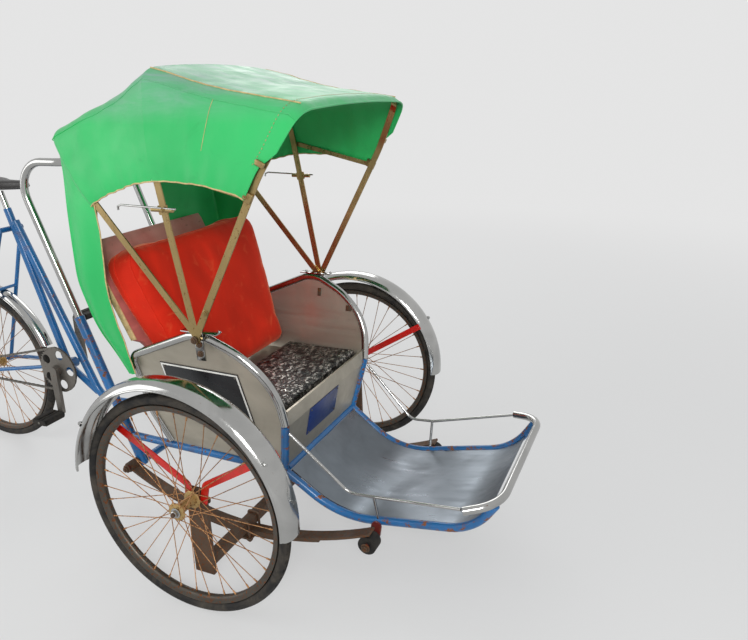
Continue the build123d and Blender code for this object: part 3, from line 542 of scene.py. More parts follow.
def spun(section, centre, steps, start=0.0, sweep=360.0):
    """A closed section of (radius, y) points, in mm, spun about a crosswise axis, the angles in degrees."""
    ring = ring_through([around(centre, radians(start), radius / 1000, y / 1000) for radius, y in section])
    edit(ring)
    bpy.ops.mesh.spin(steps=steps, angle=radians(sweep), center=centre, axis=(0, 1, 0))
    bpy.ops.mesh.select_all(action="SELECT")
    bpy.ops.mesh.remove_doubles(threshold=0.00001)
    if sweep < 360:
        cap_ends()
    face_out()
    return ring


def lathed(profile, centre, axis, segments):
    """A turned part: a circle extruded along its axis and scaled at each stop (along, radius in mm)."""
    let_go()
    axis = Vector(axis).normalized()
    turn = axis.to_track_quat("Z", "Y").to_euler()
    along, radius = profile[0]
    start = centre + axis * along / 1000
    bpy.ops.mesh.primitive_circle_add(vertices=segments, radius=radius / 1000, location=start, rotation=turn)
    part = bpy.context.object
    edit(part)
    for (a, r), (b, s) in zip(profile, profile[1:]):
        bpy.ops.mesh.extrude_region_move(TRANSFORM_OT_translate={"value": axis * (b - a) / 1000})
        bpy.ops.transform.resize(value=(s / r,) * 3, center_override=centre + axis * b / 1000)
    cap_ends()
    face_out()
    return settle(part)


def drawn_tube(points, radius, sides=2, closed=False):
    """A round bar or piping along points in metres, its ends capped."""
    line = bpy.data.curves.new("line", "CURVE")
    line.dimensions = "3D"
    line.bevel_depth = radius / 1000
    line.bevel_resolution = sides
    line.use_fill_caps = not closed
    spline = line.splines.new("POLY")
    spline.points.add(len(points) - 1)
    for point, place in zip(spline.points, points):
        point.co = (*place, 1)
    spline.use_cyclic_u = closed
    piece = bpy.data.objects.new("line", line)
    bpy.context.scene.collection.objects.link(piece)
    take(piece)
    bpy.ops.object.convert(target="MESH")
    return bpy.context.object


def box_of(x, y, z):
    """A box of these lengths in mm, whose middle is at the origin."""
    let_go()
    bpy.ops.mesh.primitive_cube_add(size=1)
    made = bpy.context.object
    for vertex in made.data.vertices:
        vertex.co = Vector((vertex.co.x * x, vertex.co.y * y, vertex.co.z * z)) / 1000
    return made


def canvas_grid(rows):
    """A continuous curved sheet through rows of points."""
    columns = len(rows[0])
    let_go()
    bpy.ops.mesh.primitive_grid_add(x_subdivisions=columns - 1, y_subdivisions=len(rows) - 1, size=1)
    grid = bpy.context.object
    for index, vertex in enumerate(grid.data.vertices):
        vertex.co = rows[index // columns][index % columns]
    return grid


def filleted(corners, steps=7):
    """A line with a round bend at each corner that has a radius, which is the last number of its row."""
    line = [Vector(corners[0][:-1])]
    for before, corner, after in zip(corners, corners[1:], corners[2:]):
        here, radius = Vector(corner[:-1]), corner[-1]
        back = (Vector(before[:-1]) - here).normalized()
        ahead = (Vector(after[:-1]) - here).normalized()
        half_angle = back.angle(ahead) / 2
        reach = radius / tan(half_angle)
        centre = here + (back + ahead).normalized() * radius / sin(half_angle)
        first, last = here + back * reach - centre, here + ahead * reach - centre
        for step in range(steps + 1):
            line.append(centre + first.slerp(last, step / steps).normalized() * radius)
    line.append(Vector(corners[-1][:-1]))
    return line


def facing(place, direction, size=1.0):
    """Where a part that points along Z goes, so that it points along the direction."""
    turn = Vector(direction).to_track_quat("Z", "Y")
    return Matrix.LocRotScale(Vector(place), turn, Vector((size, size, size)))


def crosswise(along, up, place):
    """Where a part goes whose Y axis stays crosswise."""
    turned = Matrix((along, Vector((0, 1, 0)), up)).transposed().to_4x4()
    turned.translation = place
    return turned


def copies(master, places):
    """Sets a copy of a small part, with its own mesh, at every place, and joins them."""
    made = []
    for place in places:
        part = master.copy()
        part.data = master.data.copy()
        bpy.context.scene.collection.objects.link(part)
        part.matrix_world = place
        made.append(part)
    bpy.data.objects.remove(master)
    bpy.context.view_layer.update()
    return settle(join(made))


def bolt_heads(rows, name, body, finish):
    """Hexagon heads on washers. Each row is (place, direction, head radius in mm)."""
    let_go()
    bpy.ops.mesh.primitive_cylinder_add(vertices=6, radius=1, depth=0.7, location=(0, 0, 0.55))
    head = settle(bpy.context.object)
    edit_faces(head, lambda face: face.normal.z > 0.9)
    bpy.ops.mesh.inset(thickness=0.14)
    bpy.ops.transform.translate(value=(0, 0, 0.12))
    bpy.ops.mesh.inset(thickness=0.26)
    bpy.ops.mesh.extrude_region_move(TRANSFORM_OT_translate={"value": (0, 0, 0.3)})
    leave()
    washer = lathed(((0, 1350), (180, 1420), (240, 1300)), Vector(), (0, 0, 1), 14)
    places = [facing(place, direction, radius / 1000) for place, direction, radius in rows]
    return dress(copies(join([head, washer]), places), name, body, finish, 30)


class RickshawOperator(bpy.types.Operator):
    bl_options = {"REGISTER"}

    def execute(self, context):
        self.build(context.scene.rickshaw_sizes, context.scene.rickshaw_colours)
        return {"FINISHED"}


class RICKSHAW_OT_finishes(RickshawOperator):
    """Makes every finish and gives the frame's own nodes theirs"""

    bl_idname = "rickshaw.finishes"
    bl_label = "Finishes"

    def build(self, sizes, colours):
        rust = tuple(colours.rust)
        along_x = (0.06, 1, 1)
        paints = (
            # finish, name, colour, how little is chipped
            ("blue", "blue paint", colours.blue, 0.645),
            ("scraped blue", "scraped blue paint", colours.blue, 0.553),
            ("red", "red paint", colours.red, 0.63),
            ("hanger", "dark red paint", (0.14, 0.022, 0.018), 0.58),
        )
        for finish, name, colour, wear in paints:
            finishes[finish] = paint_finish(name, colour, rust, wear)
        metals = (
            # finish, name, colour, least and most roughness, how few specks, grain, metallic
            ("chrome", "chrome", colours.chrome, 0.07, 0.26, 0.66, (1, 1, 1), 1.0),
            ("stainless", "stainless sheet", colours.stainless, 0.3, 0.55, 0.68, along_x, 0.75),
            ("gilt", "yellowed plating", colours.gilt, 0.2, 0.48, 0.6, (1, 1, 0.2), 0.9),
            ("rusty wire", "rusty wire", (0.47, 0.24, 0.1), 0.35, 0.65, 0.52, (1, 1, 1), 0.55),
            ("rim", "worn rim plating", (0.09, 0.08, 0.066), 0.3, 0.65, 0.54, (1, 1, 1), 0.75),
            ("spring", "spring steel", (0.1, 0.062, 0.038), 0.45, 0.8, 0.54, (1, 1, 1), 0.4),
            ("footplate", "worn footplate", (0.19, 0.215, 0.24), 0.27, 0.5, 0.72, along_x, 1.0),
            ("steel", "greasy steel", (0.19, 0.175, 0.155), 0.35, 0.65, 0.62, (1, 1, 1), 0.8),
            ("brass", "yellowed hub", (0.5, 0.34, 0.14), 0.3, 0.6, 0.56, (1, 1, 1), 0.8),
        )
        for finish, name, colour, low, high, specks, grain, metallic in metals:
            finishes[finish] = plated_finish(name, colour, rust, low, high, specks, grain, metallic)
        plain = (
            # finish, name, colour, roughness, grain, depth of the grain in metres
            ("vinyl", "saddle vinyl", (0.018, 0.016, 0.015), 0.42, 340, 0.0008),
            ("piping", "beige binding", colours.piping, 0.75, 600, 0.0006),
            ("thread", "waxed thread", tint(colours.piping, 0.7), 0.6, 600, 0.0003),
            ("sign", "black enamel", colours.sign, 0.3, 90, 0.0003),
            ("border", "white enamel", (0.75, 0.74, 0.7), 0.4, 90, 0.0003),
            ("plate", "blue enamel", colours.plate, 0.32, 90, 0.0003),
        )
        for finish, *values in plain:
            finishes[finish] = plain_finish(*values)
        finishes.update({
            "canvas": cloth_finish(tuple(colours.green)),
            "velour": velour_finish(tuple(colours.cushion)),
            "seat cover": foil_finish(),
            "board": board_finish(tuple(colours.board)),
            "tyre": rubber_finish("tyre rubber", colours.rubber, 0.45),
            "rubber": rubber_finish("moulded rubber", tint(colours.rubber, 0.8), 0.25),
        })
        node_finishes = {
            "blue": "steering_pin front_cross_tube rear_frame rear_stays",
            "scraped blue": "side_frame_right side_frame_left",
            "red": "mudguard_stays",
            "chrome": "arm_rail_right arm_rail_left front_bar guard_rods handlebar seat_post "
                      "mudguard_right mudguard_left rear_mudguard hood_brackets",
            "stainless": "side_panel_right side_panel_left seat_front_panel seat_deck",
            "footplate": "footboard",
            "gilt": "rear_bow middle_bow front_bow",
            "spring": "leaf_springs axle_beam",
            "hanger": "spring_hangers",
            "board": "back_board",
            "rubber": "spring_rollers pedal_right pedal_left",
            "steel": "chain crankset hub_right hub_left hub_rear",
            "tyre": "tyre_right tyre_left tyre_rear",
            "rim": "rim_right rim_left rim_rear",
            "canvas": "hood_cloth_rear hood_cloth_front rear_curtain",
            "velour": "back_cushion",
            "seat cover": "seat_pad",
            "vinyl": "saddle",
        }
        for finish, names in node_finishes.items():
            for name in names.split():
                node = nodes[name]
                node.data.materials.clear()
                node.data.materials.append(finishes[finish])
                take(node)
                bpy.ops.object.shade_smooth_by_angle(angle=radians(35))


wheel_rows = (
    # name, x, y, hub half length, flange half spacing, body of the wheel
    ("right", 0, -track_half, 36, 30, "wheel_right"),
    ("left", 0, track_half, 36, 30, "wheel_left"),
    ("rear", rear_axle_x, 0, 44, 28, "wheel_rear"),
)
tread_steps = 132
tread_depth = 1.6
rim_lip = ((-14, 8), (-9, 11), (-2, 12), (1.5, 13.2), (2.4, 11.6), (-1, 10.2), (-6, 8))


def on_tread(offset, outer):
    """Whether a face at this offset from the axle is cut: a middle groove and staggered blocks."""
    reach = (offset.x ** 2 + offset.z ** 2) ** 0.5 * 1000
    step = round(atan2(offset.z, offset.x) / (2 * pi) * tread_steps)
    return reach > outer - 6 and (abs(offset.y) < 0.005 or (step + (offset.y > 0)) % 2 == 0)


class RICKSHAW_OT_tyres(RickshawOperator):
    """Rounds and treads a tyre and curls a rim for each wheel"""

    bl_idname = "rickshaw.tyres"
    bl_label = "Tyres and rims"

    def build(self, sizes, colours):
        outer = sizes.wheel_radius * 1000
        seat = sizes.rim_radius * 1000
        half = sizes.tyre_width * 500
        middle = (outer + seat) / 2
        turns = [2 * pi * step / 18 for step in range(18)]
        tyre_section = [(middle + (outer - middle - tread_depth) * cos(turn), half * sin(turn)) for turn in turns]
        rim_section = [(seat - 16, -4), (seat - 16, 4)]
        rim_section += [(seat + out, y) for out, y in rim_lip]
        rim_section += [(seat - 8, 0)]
        rim_section += [(seat + out, -y) for out, y in reversed(rim_lip)]
        for name, x, y, hub_half, flange, body in wheel_rows:
            centre = at(x, y, outer)
            tyre = spun(tyre_section, centre, tread_steps)
            edit_faces(tyre, lambda face: on_tread(face.center - centre, outer))
            bpy.ops.mesh.inset(thickness=0.0011, use_individual=True)
            bpy.ops.mesh.extrude_region_shrink_fatten(
                TRANSFORM_OT_shrink_fatten={"value": -tread_depth / 1000})
            leave()
            dress(tyre, f"treaded_tyre_{name}", body, "tyre", 50)
            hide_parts(f"tyre_{name}")
            rim = spun(rim_section, centre, 120)
            dress(rim, f"curled_rim_{name}", body, "rim", 35)
            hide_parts(f"rim_{name}")


class RICKSHAW_OT_spokes(RickshawOperator):
    """Turns each hub and laces its thirty-six round spokes"""

    bl_idname = "rickshaw.spokes"
    bl_label = "Hubs and laced spokes"

    def build(self, sizes, colours):
        wire = sizes.spoke_radius * 1000
        for name, x, y, half, flange, body in wheel_rows:
            centre = at(x, y, sizes.wheel_radius * 1000)
            one_side = (
                (-half, 8), (-half + 2, 13), (-flange - 5, 14), (-flange - 3, 26), (-flange - 0.6, 26.5),
                (-flange + 0.6, 25), (-flange + 2, 16), (-10, 13.5),
            )
            other_side = [(-along, radius) for along, radius in reversed(one_side)]
            hub = lathed([*one_side, *other_side], centre, (0, 1, 0), 36)
            dress(hub, f"turned_hub_{name}", body, "brass", 35)
            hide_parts(f"hub_{name}")
            laced = []
            for index in range(4):
                side = 1 if index % 2 else -1
                rim_angle = radians(10 * index)
                hub_angle = rim_angle + radians(50 if index < 2 else -50)
                flange_face = side * (flange + 1.5 + 2 * (index // 2)) / 1000
                inner = around(centre, hub_angle, 0.0228, flange_face)
                run = around(centre, rim_angle, 0.2845, side * 0.003) - inner
                length = run.length * 1000
                profile = ((-2, wire), (length - 16, wire), (length - 15, wire * 1.9), (length, wire * 2.1))
                laced.append(lathed(profile, inner, run, 7))
            wires = join(laced)
            edit(wires)
            bpy.ops.mesh.spin(steps=8, angle=2 * pi * 8 / 9, center=centre, axis=(0, -1, 0), dupli=True)
            leave()
            tidy_normals(wires, 0.000001)
            dress(wires, f"laced_spokes_{name}", body, "rusty wire", 60)


def guard_section(bead, crown, half, sheet, roll):
    """A rounded mudguard section with a rolled bead at each edge, as (radius, y) points."""
    outside, inside = [], []
    for step in range(13):
        share = step / 12 * 2 - 1
        lift = (1 - abs(share) ** 2.6) ** 0.9
        rise = bead + (crown - bead) * lift
        outside.append((rise, share * half))
        inside.append((rise - sheet * (0.35 + 0.65 * lift), share * half * (1 - sheet / half)))
    left, right = [], []
    for step in range(7):
        turn = pi * (step / 6 * 1.5)
        for sign, edge in ((-1, left), (1, right)):
            edge.append((bead - roll + roll * cos(turn), sign * (half - roll + roll * sin(turn))))
    return [*reversed(left), *outside[1:-1], *right, *reversed(inside[1:-1])]


class RICKSHAW_OT_mudguards(RickshawOperator):
    """Presses the three mudguards with their rolled edges"""

    bl_idname = "rickshaw.mudguards"
    bl_label = "Mudguards"

    def build(self, sizes, colours):
        rows = (
            # side, node, body, place of the centre, bead, crown, half width, start angle, sweep
            ("right", "mudguard_right", "carriage", (guard_x, -track_half, guard_z), 335, 354, 42, -4, 178),
            ("left", "mudguard_left", "carriage", (guard_x, track_half, guard_z), 335, 354, 42, -4, 178),
            ("rear", "rear_mudguard", "driver_frame", (rear_axle_x, 0, axle_z), 347, 364, 27, 20, 180),
        )
        for side, node, body, place, bead, crown, half, start, sweep in rows:
            section = guard_section(bead, crown, half, sizes.guard_sheet * 1000, sizes.guard_bead * 1000)
            guard = spun(section, at(*place), 72, start, sweep)
            dress(guard, f"pressed_mudguard_{side}", body, "chrome", 40)
            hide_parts(node)


def swell(piece, voxel, pressure, cap):
    """Blows a closed cloth shape up a little, so that it crowns between its edges."""
    take(piece)
    piece.data.remesh_voxel_size = voxel / 1000
    bpy.ops.object.voxel_remesh()
    start = [vertex.co.copy() for vertex in piece.data.vertices]
    cloth = modify(piece, "CLOTH")
    cloth.settings.quality = 5
    cloth.settings.use_pressure = True
    cloth.settings.uniform_pressure_force = pressure
    cloth.settings.effector_weights.gravity = 0
    cloth.settings.tension_stiffness = 20
    cloth.settings.compression_stiffness = 20
    for step in range(1, 21):
        bpy.context.scene.frame_set(step)
    apply_all(piece)
    bpy.context.scene.frame_set(1)
    for vertex, place in zip(piece.data.vertices, start):
        move = vertex.co - place
        if move.length > cap:
            vertex.co = place + move.normalized() * cap


def edge_inset(radius, edge):
    """How far a rounded edge falls back at this distance from the end."""
    return radius - (radius ** 2 - (radius - min(radius, edge)) ** 2) ** 0.5


def pillow_ring(half, back, front, radius, crown, place):
    """A rounded rectangle across a pad, bulging at the front; place(across, out) puts it in the model."""
    ring = []
    corners = ((half - radius, front - radius), (radius - half, front - radius),
               (radius - half, back + radius), (half - radius, back + radius))
    for index, steps in enumerate((20, 3, 14, 3)):
        turns = [radians(90 * index + 90 * step / 4) for step in range(5)]
        arcs = []
        for across, out in (corners[index], corners[(index + 1) % 4]):
            arcs.append([(across + radius * cos(turn), out + radius * sin(turn)) for turn in turns])
        ring += arcs[0][:4]
        for step in range(steps):
            spot = Vector(arcs[0][4]).lerp(Vector(arcs[1][4]), step / steps)
            if index == 0:
                spot.y += crown * (1 - (abs(spot.x) / half) ** 4)
            ring.append((spot.x, spot.y))
    return [place(across, out) for across, out in ring]


back_foot = at(-228, 0, 471.1)
back_rise = (at(-410, 0, 1000) - back_foot).normalized()
back_forward = Vector((back_rise.z, 0, -back_rise.x))
seat_half = 268
seat_edge = 9
cushion_depth = 85
cushion_edge = 22


def on_pad(x, across, out):
    """A point on the seat, its x in metres."""
    return Vector((x, across / 1000, out / 1000))


def on_back(z, across, out):
    """A point by its height and its distance in front of the back board's plane, in mm."""
    up = (z / 1000 - back_foot.z) / back_rise.z
    return back_foot + back_rise * up + back_forward * out / 1000 + Vector((0, across / 1000, 0))


def board_out(z):
    """The back board leans back more than the cushion in front of it."""
    return -4 - 44 * (z - 480) / 500


cushion_outline = (
    # height on the board's plane and half width, from the foot up
    (486, 240), (488, 248), (494, 256), (503, 261), (530, 265), (570, 269), (610, 277), (650, 285),
    (688, 293), (730, 302), (775, 310), (816, 316), (855, 320), (886, 321), (905, 317), (918, 310),
    (928, 300), (935, 288), (939, 272),
)
board_outline = (
    # height and distance across
    (486, -256), (660, -280), (676, -290), (690, -314), (850, -320), (955, -316), (990, -302),
    (990, 205), (972, 211), (716, 214), (700, 256), (486, 256),
)


class RICKSHAW_OT_seat(RickshawOperator):
    """Stuffs the seat pad and the back cushion, and cuts the board behind it"""

    bl_idname = "rickshaw.seat"
    bl_label = "Seat pad, back cushion and board"

    def build(self, sizes, colours):
        self.stuff_pad(sizes.pad_cap)
        self.stuff_cushion(sizes.cushion_cap)
        self.cut_board()

    def stuff_pad(self, cap):
        low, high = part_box("seat_pad")
        foot, top = low.z * 1000 + 0.6, high.z * 1000 - 2
        length = (high.x - low.x) * 1000
        rings = []
        for run in (2, 7, *(length * step / 26 for step in range(2, 25)), length - 7, length - 2):
            edge = min(run, length - run)
            inset = edge_inset(seat_edge, edge)
            crown = 2.5 * min(1, edge / 60)
            rings.append(pillow_ring(seat_half - inset * 0.6, foot, top - inset, seat_edge, crown,
                                     partial(on_pad, low.x + run / 1000)))
        pad = lofted(rings)
        swell(pad, 6, 4, cap)
        for vertex in pad.data.vertices:
            vertex.co.z = max(vertex.co.z, foot / 1000)
            vertex.co.x = min(vertex.co.x, high.x - 0.001)
            if vertex.co.z > (foot + 15) / 1000:
                vertex.co.z -= 0.005 * max(0, 1 - abs(vertex.co.y) / 0.007)
        dress(pad, "stuffed_seat_pad", "carriage", "seat cover", 60)
        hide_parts("seat_pad")

    def stuff_cushion(self, cap):
        first, last = cushion_outline[0][0], cushion_outline[-1][0]
        rings = []
        for z, half in cushion_outline:
            inset = edge_inset(cushion_edge, min(z - first + 2, last - z + 2))
            share = (z - first) / (last - first) * 2 - 1
            rings.append(pillow_ring(half, board_out(z) + 3 + inset * 0.8, cushion_depth - inset,
                                     min(cushion_edge, 40 - inset), 9 * (1 - share ** 4), partial(on_back, z)))
        cushion = lofted(rings)
        swell(cushion, 7, 4, cap)
        for vertex in cushion.data.vertices:
            height = (vertex.co - back_foot).dot(back_rise) * back_rise.z * 1000 + back_foot.z * 1000
            depth = (vertex.co - back_foot).dot(back_forward) * 1000 - board_out(height)
            if depth < 2:
                vertex.co += back_forward * (2 - depth) / 1000
        edit(cushion)
        bpy.ops.mesh.vertices_smooth(factor=0.5, repeat=4)
        leave()
        outline = [(z, -half) for z, half in cushion_outline]
        outline += [(z, half) for z, half in reversed(cushion_outline)]
        welts = [self.welt(cushion, outline, out) for out in (80, 4)]
        cushion = join([cushion, *welts])
        dress(cushion, "stuffed_back_cushion", "carriage", "velour", 60)
        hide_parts("back_cushion")

    def welt(self, cushion, outline, out):
        """Piping that lies on the cushion, all round its edge."""
        path = []
        middle = on_back(720, 0, out)
        for (z, y), (next_z, next_y) in zip(outline, outline[1:] + outline[:1]):
            pieces = 3 if abs(z - next_z) > 1 else 24
            for step in range(pieces):
                share = step / pieces
                place = on_back(z + (next_z - z) * share, y + (next_y - y) * share, out)
                away = (place - middle).normalized() * 0.02
                spot, normal = cushion.closest_point_on_mesh(place + away)[1:3]
                path.append(spot - normal * 0.0002)
        return drawn_tube(path, 1.9, closed=True)

    def cut_board(self):
        front = [on_back(z, y, board_out(z)) for z, y in board_outline]
        back = [on_back(z, y, board_out(z) - 18) for z, y in board_outline]
        board = rounded(block(front, back), 2.5)
        dress(board, "painted_back_board", "carriage", "board", 40)
        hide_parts("back_board")
        strips = []
        for low, high in zip(board_outline[3:5], board_outline[4:6]):
            corners = ((low, 2), (high, 2), (high, -20), (low, -20))
            outer = [on_back(z, y - 1.2, board_out(z) + out) for (z, y), out in corners]
            inner = [place + Vector((0, 0.004, 0)) for place in outer]
            strips.append(rounded(block(outer, inner), 0.8))
        dress(join(strips), "board_edge_strips", "carriage", "piping", 40)


bow_shapes = {
    # bow: (angle forward of upright, corner half width, corner reach from the pin, skirt reach, skirt half width)
    "rear": (-39.7, 321, 732, 476, 362),
    "middle": (-9.2, 316, 723, 440, 380),
    "front": (28.7, 334, 705, 455, 380),
}
hood_crown = 14
cloth_half = 380
cloth_drop = 520
corner_cut = 52
rear_lean = radians(bow_shapes["rear"][0])
behind = Vector((-cos(rear_lean), 0, sin(rear_lean)))
under = Vector((-sin(rear_lean), 0, -cos(rear_lean)))


def in_bow(angle, across, reach):
    """A point in a bow's plane, from its distance out and its reach from the pin."""
    return at(pivot_x + reach * sin(radians(angle)), across, pivot_z + reach * cos(radians(angle)))


def bend(start, corner, end, steps):
    """Points of a soft bend from its start on, without its end."""
    shares = [step / steps for step in range(steps)]
    return [start.lerp(corner, share).lerp(corner.lerp(end, share), share) for share in shares]


def bow_line(bow):
    """The cloth's line over one bow, from the right skirt to the left one."""
    angle, corner, reach, skirt, skirt_half = bow_shapes[bow]
    top = Vector((corner, reach))
    turn_in = top - Vector((corner - cloth_half, reach - cloth_drop)).normalized() * corner_cut
    turn_out = Vector((corner - corner_cut, reach + corner_cut * hood_crown / corner))
    half = bend(Vector((skirt_half, skirt)), Vector((cloth_half, cloth_drop)), turn_in, 11)
    half += bend(turn_in, top, turn_out, 7)
    for step in range(9):
        across = turn_out.x * (1 - step / 8)
        half.append(Vector((across, reach + hood_crown * (1 - (across / corner) ** 2))))
    line = [in_bow(angle, -p.x, p.y) for p in half]
    return line + [in_bow(angle, p.x, p.y) for p in reversed(half[:-1])]


def span_rows(first, second, stations, sag, lift):
    """Rows of cloth from one bow to the next, sagging between them."""
    start, end = bow_line(first), bow_line(second)
    hub = at(pivot_x, 0, pivot_z) + Vector((0, 0, 0.2))
    rows = []
    last = len(start) - 1
    for station in range(stations + 1):
        share = station / stations
        arch = 4 * share * (1 - share)
        row = []
        for index, (a, b) in enumerate(zip(start, end)):
            place = a.lerp(b, share)
            side = 1 - min(index, last - index) / 12
            inward = (hub - place).normalized()
            place += inward * sag / 1000 * arch * min(1, max(0.12, 1 - side))
            if side > 0:
                place.z += lift / 1000 * arch * side ** 2
                place.y *= 1 + 0.012 * arch * side
            ripple = noise.noise(Vector((place.x * 5, place.y * 4, place.z * 3))) * 0.008
            ripple += noise.noise(Vector((place.x * 24, place.y * 6, place.z * 9))) * 0.003
            if side > 0:
                drape = noise.noise(Vector((place.x * 15 + place.z * 5, place.y * 3, place.z * 2)))
                pucker = 0.0018 * side ** 4 * sin(station * 1.5 + place.y * 4)
                ripple += 0.0055 * drape * side + pucker
            place += inward * ripple * min(1, 1.6 * arch)
            row.append(place)
        rows.append(row)
    return rows


def lifted(place, lift):
    """A point this far outside the canvas, in mm."""
    away = place - at(pivot_x, 0, pivot_z + 360)
    return place + Vector((0.2 * away.x, away.y, away.z)).normalized() * lift / 1000


def along_canvas(rows, index, lift):
    """Points just outside the canvas, along one of its lines from bow to bow."""
    return [lifted(row[index], lift) for row in rows]


def stitched(path, length=5.5, gap=5.5):
    """A row of thread stitches laid along a path."""
    places = []
    wanted, travelled = 0.0, 0.0
    for start, end in zip(path, path[1:]):
        run = (end - start).length * 1000
        while wanted <= travelled + run:
            share = (wanted - travelled) / run
            places.append(facing(start.lerp(end, share), end - start))
            wanted += length + gap
        travelled += run
    thread = lathed(((-length / 2, 0.35), (-length / 3, 0.9), (length / 3, 0.9), (length / 2, 0.35)),
                    Vector(), (0, 0, 1), 6)
    return copies(thread, places)


def wrapped(rows):
    """The rear edge: the cloth goes round the back of the rear bow."""
    last = len(rows[0]) - 1
    round_back, tucked = [], []
    for index, place in enumerate(rows[0]):
        top = clamped((min(index, last - index) - 9) / 8)
        inward = Vector((0, -1 if place.y > 0 else 1, 0)).lerp(under, top).normalized()
        round_back.append(place + behind * 0.0145 + inward * 0.001)
        tucked.append(place + behind * 0.0145 + inward * 0.013)
    return [tucked, round_back] + rows


def nosed(rows):
    """The front edge: a flap over the bow above, cut back behind the bow below."""
    foot = at(0, 0, 1212).z
    nose = []
    for place in rows[-1]:
        share = clamped((place.z - foot) / 0.035)
        place.x -= 0.014 * (1 - share)
        drop = clamped((place.z - foot) / 0.2)
        nose.append(place + Vector((0.003 + 0.015 * share, 0, -0.002 - 0.02 * drop)))
    for row, back in ((rows[-2], 0.009), (rows[-3], 0.004)):
        for place in row:
            place.x -= back * (1 - clamped((place.z - foot) / 0.035))
    return rows + [nose]


class RICKSHAW_OT_hood(RickshawOperator):
    """Stretches the canvas over the bows, with its hems, seams and piping"""

    bl_idname = "rickshaw.hood"
    bl_label = "Hood canvas"

    def build(self, sizes, colours):
        spans = (
            # name, first bow, second bow, sag, hem lift, bodies on either side
            ("rear", "rear", "middle", 12, 12, ("carriage", "hood_middle")),
            ("front", "middle", "front", 10, 14, ("hood_middle", "hood_front")),
        )
        for name, first, second, sag, lift, bodies in spans:
            rows = span_rows(first, second, 28, sag, lift)
            rows = nosed(rows) if name == "front" else wrapped(rows)
            canvas = canvas_grid(rows)
            thicken(canvas, sizes.cloth, 1)
            tidy_normals(canvas, 0.000001)
            dress(canvas, f"hood_canvas_{name}", None, "canvas", 70)
            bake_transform(canvas)
            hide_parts(f"hood_cloth_{name}")
            for trim_name, finish, pieces in self.trims(name, rows):
                trim = dress(join(pieces), trim_name, None, finish, 60)
                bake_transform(trim)

    def trims(self, name, rows):
        """Name, finish and pieces of each hem, welt, piping and seam on one span."""
        last = len(rows[0]) - 1
        hems = [drawn_tube(along_canvas(rows, index, 0.3), 2.1) for index in (0, last)]
        welts = [drawn_tube(along_canvas(rows, index, 0.9), 1.7) for index in (13, last - 13)]
        if name == "front":
            welts.append(drawn_tube([place + Vector((0.001, 0, 0)) for place in rows[-1]], 2.4))
        made = [(f"hood_hem_{name}", "piping", hems), (f"hood_welts_{name}", "canvas", welts)]
        if name == "front":
            piping = [drawn_tube(along_canvas(rows[:-1], index, 1.8), 2.0) for index in (17, last - 17)]
            seams = [drawn_tube([lifted(rows[14][index], 1.1) for index in line], 0.7)
                     for line in (range(6, 14), range(last - 6, last - 14, -1))]
            band = [place.lerp(inner, 0.45) for place, inner in zip(rows[-3], rows[-4])]
            stitches = stitched([lifted(place, 1.4) for place in band[6:last - 5]])
            made += [("hood_piping", "piping", piping + seams), ("front_flap_stitches", "thread", [stitches])]
        return made


tail_rows = (
    # z, x and half width of the front edge, of the outer fold, x of the inner edge and its half width right and left
    (1293, -516, 306, -517, 308, -520, 0, 0),
    (1262, -500, 315, -520, 312, -526, 1, 1),
    (1225, -463, 331, -513, 318, -517, 28, 14),
    (1170, -415, 349, -504, 327, -507, 125, 40),
    (1100, -360, 361, -496, 341, -500, 208, 74),
    (1019, -357, 360, -490, 352, -491, 234, 72),
    (930, -370, 350, -484, 359, -478, 250, 70),
    (866, -379, 346, -480, 362, -468, 264, 92),
    (814, -379, 344, -466, 357, -456, 276, 130),
    (730, -364, 342, -440, 358, -426, 294, 205),
    (680, -352, 340, -410, 351, -402, 304, 252),
    (640, -343, 337, -384, 342, -382, 313, 288),
    (600, -338, 332, -366, 335, -368, 319, 312),
    (574, -335, 328, -352, 331, -360, 322, 321),
)
tail_columns = 30
fold_share = 0.4


def tail_row(row, sign):
    """One row of a curtain tail, from its front edge round the outer fold to its inner edge."""
    z, front_x, front, fold_x, fold, inner_x, *inner = tail_rows[row]
    edge, corner = Vector((front_x, front)), Vector((fold_x, fold))
    end = Vector((inner_x, inner[0] if sign < 0 else inner[1]))
    gather = clamped((1050 - z) / 420)
    line = []
    for column in range(tail_columns + 1):
        u = column / tail_columns
        if u < fold_share:
            place, out = edge + (corner - edge) * (u / fold_share), Vector((0, 1))
        else:
            place, out = corner + (end - corner) * ((u - fold_share) / (1 - fold_share)), Vector((-1, 0))
        place += Vector((3.5, -3.5)) * max(0, 1 - abs(u - fold_share) / 0.12) * (1 - gather)
        wave = sin(u * 17 + 1.3 * sin(z / 170) + sign) * (1.5 + 6.5 * gather)
        wave += 7 * noise.noise(Vector((u * 4, z / 190, sign * 3)))
        wave *= min(1, row / 3) * (0.35 if z < 650 else 1)
        place += out * wave
        line.append(at(place.x, sign * place.y, z))
    return line


